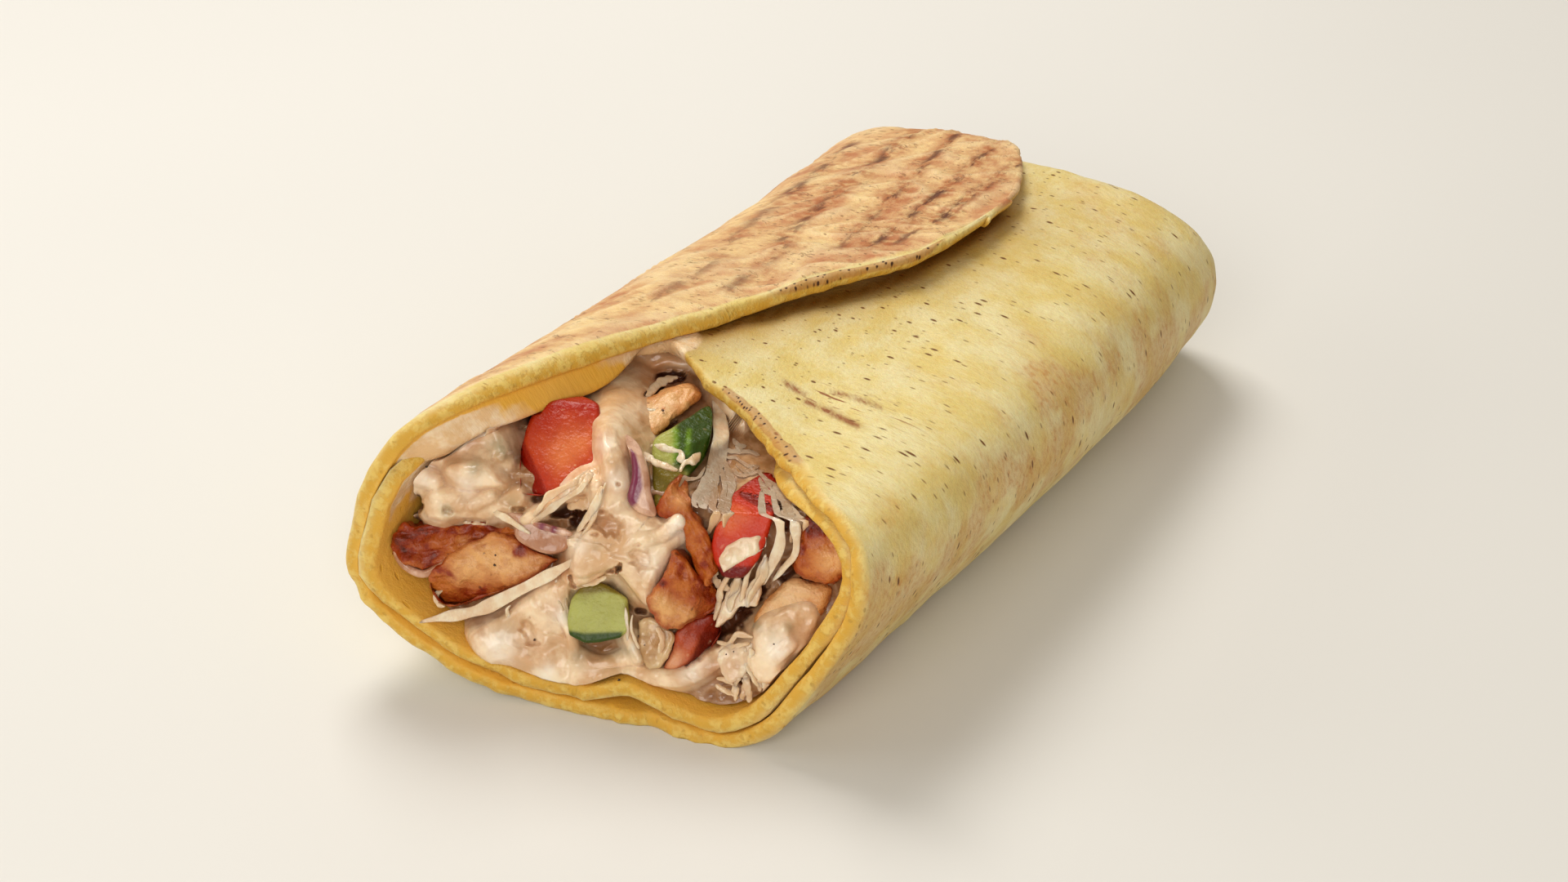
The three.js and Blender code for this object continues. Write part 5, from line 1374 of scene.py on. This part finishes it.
replacingStrips = [
    ["cabbage_strip_long", cabbageLeaf, "cabbage", {
        "path": [[-43.6, -11.6, 3.4], [-38, -10.4, 2.6], [-30, -8.7, 3], [-22, -4.8, 4.2], [-14, -0.6, 4.6],
                 [-9, 2.4, 3.6]],
        "width": 2.3, "thick": 1.0, "wave": 0.3, "widths": [0.35, 0.9, 1.15, 0.9, 1.0, 0.8], "seed": 3}],
    ["cabbage_strip_upright", cabbageLeaf, "cabbage", {
        "path": [[15.8, 35.6, 0.2], [16.8, 30, 1], [17.4, 24, 1.8], [16.4, 17, 2.6], [15.2, 11.6, 2]],
        "width": 3.8, "thick": 1.0, "cup": 0.25, "twist": 0.5, "widths": [0.4, 0.7, 1.0, 0.95, 0.5],
        "seed": 4}],
    ["pepper_strip", pepperFlesh, "pepper", {
        "path": [[-0.2, 36.4, 1.4], [-0.6, 31, 1.6], [-1.6, 27, 2], [-2.8, 22.6, 2]],
        "width": 2.7, "thick": 1.5, "widths": [0.9, 1.0, 0.75, 0.5], "seed": 5}],
    ["onion_ring_left", onionFlesh, "onion", {
        "path": [[-47, 3.0, 1.2], [-44.6, -0.2, 1.8], [-41, -1.7, 2.2], [-37, 0.2, 2.0], [-34.6, 2.2, 1.4]],
        "width": 1.7, "thick": 2.8, "seed": 6}],
    ["onion_right", onionPeel, "onion_skin", {
        "path": [[36.2, 15.6, -0.8], [39.6, 12.6, -0.6], [42.4, 8.8, -1.0], [43.8, 4.6, -1.8]],
        "width": 2.6, "thick": 2.4, "spots": [[36.5, 15, 1.6, 1.0], [38.5, 13.5, 1.2, 0.6]], "seed": 7}],
]
for name, finish, slot, spec in replacingStrips:
    laidStrips(name, finish, slot, [spec], name)

# Bundles of cut cabbage: path of [r, u, stand], strands, their width, how far they spread, how tan
shredBundles = [
    [[[26.6, 20.2, 1], [29.6, 18.6, 1.8], [32.8, 16.4, 1.9], [34.8, 13, 1.4], [35.2, 10, 0.6]],
     2, 3.4, 1.0, 0.1],
    [[[29.4, 17.6, 2], [30.2, 13.6, 2.6], [30.8, 9, 2.6], [30.6, 5, 2.4], [29, 1, 2.2], [27, -3.4, 1.6]],
     2, 2.8, 1.1, 0.1],
    [[[32.6, 15, 1.6], [33.4, 11.6, 1.8], [33.2, 7.6, 1.4], [32.2, 3.6, 0.8]], 2, 1.5, 0.8, 0.8],
    [[[18.4, 23.8, 1.6], [21.4, 23.4, 2], [24.6, 22.7, 1.7], [28.6, 21.6, 0.8]], 2, 1.5, 0.7, 0.3],
    [[[19.4, 25, 0.6], [21.6, 25.3, 1], [24.2, 24.2, 0.4]], 1, 1.4, 0, 0.4],
    [[[17.4, 22, 2.2], [19.6, 18, 2], [19.4, 13.6, 1.8], [17.6, 9, 1.6], [16.2, 5.6, 1]], 3, 1.8, 1.2, 0.75],
    [[[16.4, 21, 2.8], [15.2, 16.6, 3], [14.8, 12.2, 2.6]], 2, 1.6, 0.7, 0.15],
    [[[14.4, 23, 3.6], [12.8, 20.8, 3.8], [10.6, 19.2, 3.6], [9.4, 17.2, 3]], 2, 1.4, 0.7, 0.3],
    [[[2.6, 23, 3.8], [5, 21.6, 4.4], [8, 20.4, 4.4], [10.4, 18.8, 3.6]], 2, 1.5, 0.6, 0.15],
    [[[21.4, -0.6, 2.6], [19.4, -4.6, 3], [18, -8, 2.4], [16.6, -11.2, 1.4]], 3, 1.7, 1.1, 0.35],
    [[[25.8, 3, 2], [24.4, -1, 2.8], [23, -5, 2.6], [22, -7.6, 2]], 3, 1.7, 1.2, 0.3],
    [[[17.6, 0.6, 2.4], [16.6, -2, 2.6], [18.8, -4, 2.6], [21, -3.4, 2.4]], 1, 1.4, 0, 0.3],
    [[[20.6, -20.4, 1.6], [20.4, -23, 1.9], [20.9, -26.2, 1]], 2, 1.2, 0.6, 0.3],
    [[[22.6, -20.8, 1.9], [22.8, -23.8, 1.8], [22.6, -26.4, 1]], 2, 1.2, 0.6, 0.5],
    [[[24, -20.6, 1.8], [25.6, -22.8, 1.6], [26, -25.2, 0.9]], 2, 1.2, 0.6, 0.3],
    [[[16.6, -22, 1], [19.4, -23.8, 1.2], [21.6, -25.6, 0.8]], 2, 1.2, 0.5, 0.5],
    [[[17.4, -15.2, 2.2], [20.4, -14.4, 2.6], [23.8, -13.4, 2]], 2, 1.3, 0.5, 0.3],
    [[[23.6, -14.6, 2.4], [23.2, -18, 2.4], [24.6, -21, 2], [25.8, -22.6, 1.2]], 2, 1.3, 0.6, 0.2],
    [[[33.8, 20.6, 0], [35.6, 17, 0.4], [37, 13, 0.2]], 2, 1.4, 0.6, 0.8],
    [[[21, 20.6, 0.2], [24, 19.6, 0.6], [28, 20.4, 0.4]], 2, 1.4, 0.7, 0.9],
    [[[-26.4, 10.6, 2.4], [-23.6, 9.4, 3.2], [-21.6, 7.4, 3.4], [-19.6, 5.6, 3.4]], 1, 1.6, 0, 0.2],
    [[[-20.4, 8.6, 3.4], [-17, 11, 3.8], [-13, 14, 3.8], [-9, 16.8, 3.6], [-6, 20, 3.4]], 2, 1.5, 0.6, 0.2],
    [[[-5, 36, -0.6], [-4.9, 31, 1.6], [-5.4, 27, 2.8], [-5.2, 21, 3.6]], 2, 1.4, 0.5, 0.5],
    [[[-1.2, 28.6, 2.4], [-2.4, 24.6, 3], [-3.4, 20.6, 3.4]], 1, 1.2, 0, 0.2],
    [[[-4.6, 17, 4.2], [-5.6, 13, 4.4], [-7.6, 9, 4.2], [-10.6, 5.8, 3.8]], 2, 1.3, 0.5, 0.1],
    [[[-12.4, 13.2, 1.6], [-9.6, 12.6, 1.4], [-6.8, 13.2, 2]], 1, 1.8, 0, 0.8],
    [[[-23.6, -7.4, 4], [-23.8, -10, 3.6], [-25.2, -11.8, 3.2]], 1, 1.1, 0, 0.3],
    [[[-36.4, -5.6, 2.6], [-38.8, -6.6, 2.4], [-38, -8.2, 2.4]], 1, 1.4, 0, 0.4],
    [[[-13.6, -2, 3.4], [-13.2, -6, 3.6], [-12.6, -9, 3.4]], 2, 1.3, 0.5, 0.4],
    [[[-10.6, -1.6, 4.4], [-9.6, -3.4, 4.6], [-6.6, -2.2, 4.6], [-4, -0.6, 4.4]], 1, 1.6, 0, 0.3],
    [[[-0.6, -9, 3], [-0.2, -13, 3], [0.8, -17.4, 2.6]], 2, 1.0, 0.5, 0.0],
    [[[4.8, -11, 2.4], [6.4, -14, 2.6], [5.6, -18, 2.2]], 1, 1.2, 0, 0.2],
    [[[-24.6, 30, 0], [-22.6, 28, 0.6], [-22.2, 24, 0.6]], 1, 2.0, 0, 0.8],
    [[[0.8, 27.6, 3], [2.4, 29.6, 3.2], [6, 31, 3]], 1, 1.4, 0, 0.4],
    [[[1.5, 31.5, 2], [4.5, 35.5, 1.2], [9.5, 37.8, 0]], 1, 2.0, 0, 0.7],
]


# The strands of a bundle run side by side and cross a little, each shifted, turned and
# shortened by its own random amounts.
def looseShreds():
    random = np.random.default_rng(17)
    specs = []
    for path, count, width, spread, tan in shredBundles:
        path = smoothCurve(path, 6, False)
        for place in np.linspace(-1, 1, count) if count > 1 else [0]:
            shift = random.normal(0, 1, (4, 3)) * [0.55, 0.55, 0.5]
            along = np.linspace(0, 3, len(path))
            moved = path + np.stack([np.interp(along, range(4), column) for column in shift.T], -1)
            heading = np.gradient(path[:, :2], axis=0)
            heading /= np.linalg.norm(heading, axis=1, keepdims=True)
            moved[:, :2] += place * spread * np.stack([-heading[:, 1], heading[:, 0]], -1)
            trim = slice(random.integers(0, 3), len(path) - random.integers(0, 3))
            specs.append({"path": moved[trim][::2], "width": width * random.uniform(0.7, 1.3),
                          "thick": random.uniform(0.6, 1.0), "twist": random.uniform(-1.4, 1.4), "wave": 0.3,
                          "taper": 0.55, "widths": random.uniform(0.6, 1.15, 4),
                          "tan": np.clip(tan * random.uniform(0.3, 1.2), 0, 1),
                          "rows": 34, "columns": 12, "seed": int(random.integers(1, 900))})
    return specs


laidStrips("cabbage_shreds", cabbageLeaf, "cabbage", looseShreds())
laidStrips("onion_shreds", onionFlesh, "onion", [
    {"path": [[-18.8, 8.4, 4.6], [-15, 7.4, 4.9], [-11, 6.4, 4.4]], "width": 1.5, "thick": 1.2, "rows": 40,
     "widths": [0.7, 1, 0.9], "spots": [[-16.9, 7.9, 1.0, 0.9], [-14.6, 7.4, 0.8, 0.9]], "seed": 9}])
print("shreds strewn")

# Coarse black pepper on the sauce: places as [r, u, stand]
pepper = {
    "size": (0.32, 0.62), "black": tone(46, 34, 26), "brown": tone(84, 58, 36),
    "places": [[1.5, -13.5, 2.9], [2.7, -15.2, 2.9], [-28.8, -16.2, 1.9], [-19, -14.5, 3.3],
               [18.6, -16.8, 2.9], [20, -16.2, 2.9], [-2.4, -22.2, 1.7], [-4.8, -23.4, 1.3],
               [2.5, 3.8, 3.6], [-26.6, 0.2, 4.0], [-26.4, 2.2, 4.0], [5.8, 30.4, 4.2],
               [-13.2, -7.4, 3.6], [27.8, -14.6, 4.0], [-39.6, 19.4, 2.6]],
}


# One small ball per speck, its radius changed by random dents: r = size (1 + 0.3 noise).
def pepperSpecks():
    random = np.random.default_rng(5)
    high, around = np.linspace(0, np.pi, 7), np.linspace(0, 2 * np.pi, 9, endpoint=False)
    ball = np.stack([np.sin(high)[:, None] * np.cos(around), np.sin(high)[:, None] * np.sin(around),
                     np.cos(high)[:, None] + 0 * around], -1)
    grids = []
    for r, u, stand in pepper["places"]:
        dents = 1 + 0.3 * random.normal(0, 1, ball.shape[:2]).clip(-1, 1)
        dents[[0, -1]] = 1
        radius = 0.5 * random.uniform(*pepper["size"]) * random.uniform(0.75, 1.1, 3)
        middle = onFace(r, u, frontOut(r, u) + stand)
        grids.append(middle + ball * dents[..., None] * radius)
    faces = gridFaces(len(high), len(around), True)
    faces = np.concatenate([faces + k * len(high) * len(around) for k in range(len(grids))])
    finish, tree, shader = newFinish("pepper_black", 0.5)
    patch = patchMask(tree, objectCoords(tree), 1500, 1, 0.4, 0.6)
    tree.links.new(blendColor(tree, patch, pepper["black"], pepper["brown"]), shader.inputs["Base Color"])
    settle(makeMesh("pepper_specks", np.stack(grids), faces, merge=poleGap), finish, "cabbage_heap")


pepperSpecks()
print("pepper strewn")

# Stage and light

stage = {
    "floor": tone(226, 224, 220), "floorShade": tone(222, 220, 216), "floorReach": 4000,
    "world": (1.0, 0.93, 0.80, 1.0), "worldStrength": 0.33, "aim": (0, 0, 0.03),
    "lamps": [                                 # name, place, side, watts, warmth
        ["key", (-0.38, 0.28, 0.80), 0.42, 5.6, (1.0, 0.97, 0.92)],
        ["front", (0.30, -0.80, 0.55), 0.60, 4.7, (1.0, 0.97, 0.91)],
        ["left", (-0.80, -0.45, 0.35), 0.60, 2.4, (1.0, 0.97, 0.91)],
    ],
}


def makeStage():
    corners = np.array([[[-1, -1, 0], [1, -1, 0]], [[-1, 1, 0], [1, 1, 0]]], float) * stage["floorReach"]
    floor = makeMesh("floor", corners, np.array([[0, 1, 3, 2]]))
    finish, tree, shader = newFinish("floor_matt", 0.75)
    patch = patchMask(tree, objectCoords(tree), 3, 2, 0.2, 0.8)
    tree.links.new(blendColor(tree, patch, stage["floor"], stage["floorShade"]), shader.inputs["Base Color"])
    floor.data.materials.append(finish)
    for name, place, side, watts, warmth in stage["lamps"]:
        data = bpy.data.lights.new(name, "AREA")
        data.size, data.energy, data.color = side, watts, warmth
        lamp = bpy.data.objects.new(name, data)
        lamp.location = place
        lamp.rotation_euler = (Vector(place) - Vector(stage["aim"])).to_track_quat("Z", "Y").to_euler()
        bpy.context.collection.objects.link(lamp)
    world = bpy.data.worlds.new("studio")
    world.use_nodes = True
    sky = world.node_tree.nodes["Background"]
    sky.inputs["Color"].default_value = stage["world"]
    sky.inputs["Strength"].default_value = stage["worldStrength"]
    bpy.context.scene.world = world
    bpy.context.scene.view_settings.view_transform = "Standard"


makeStage()
print("stage lit")
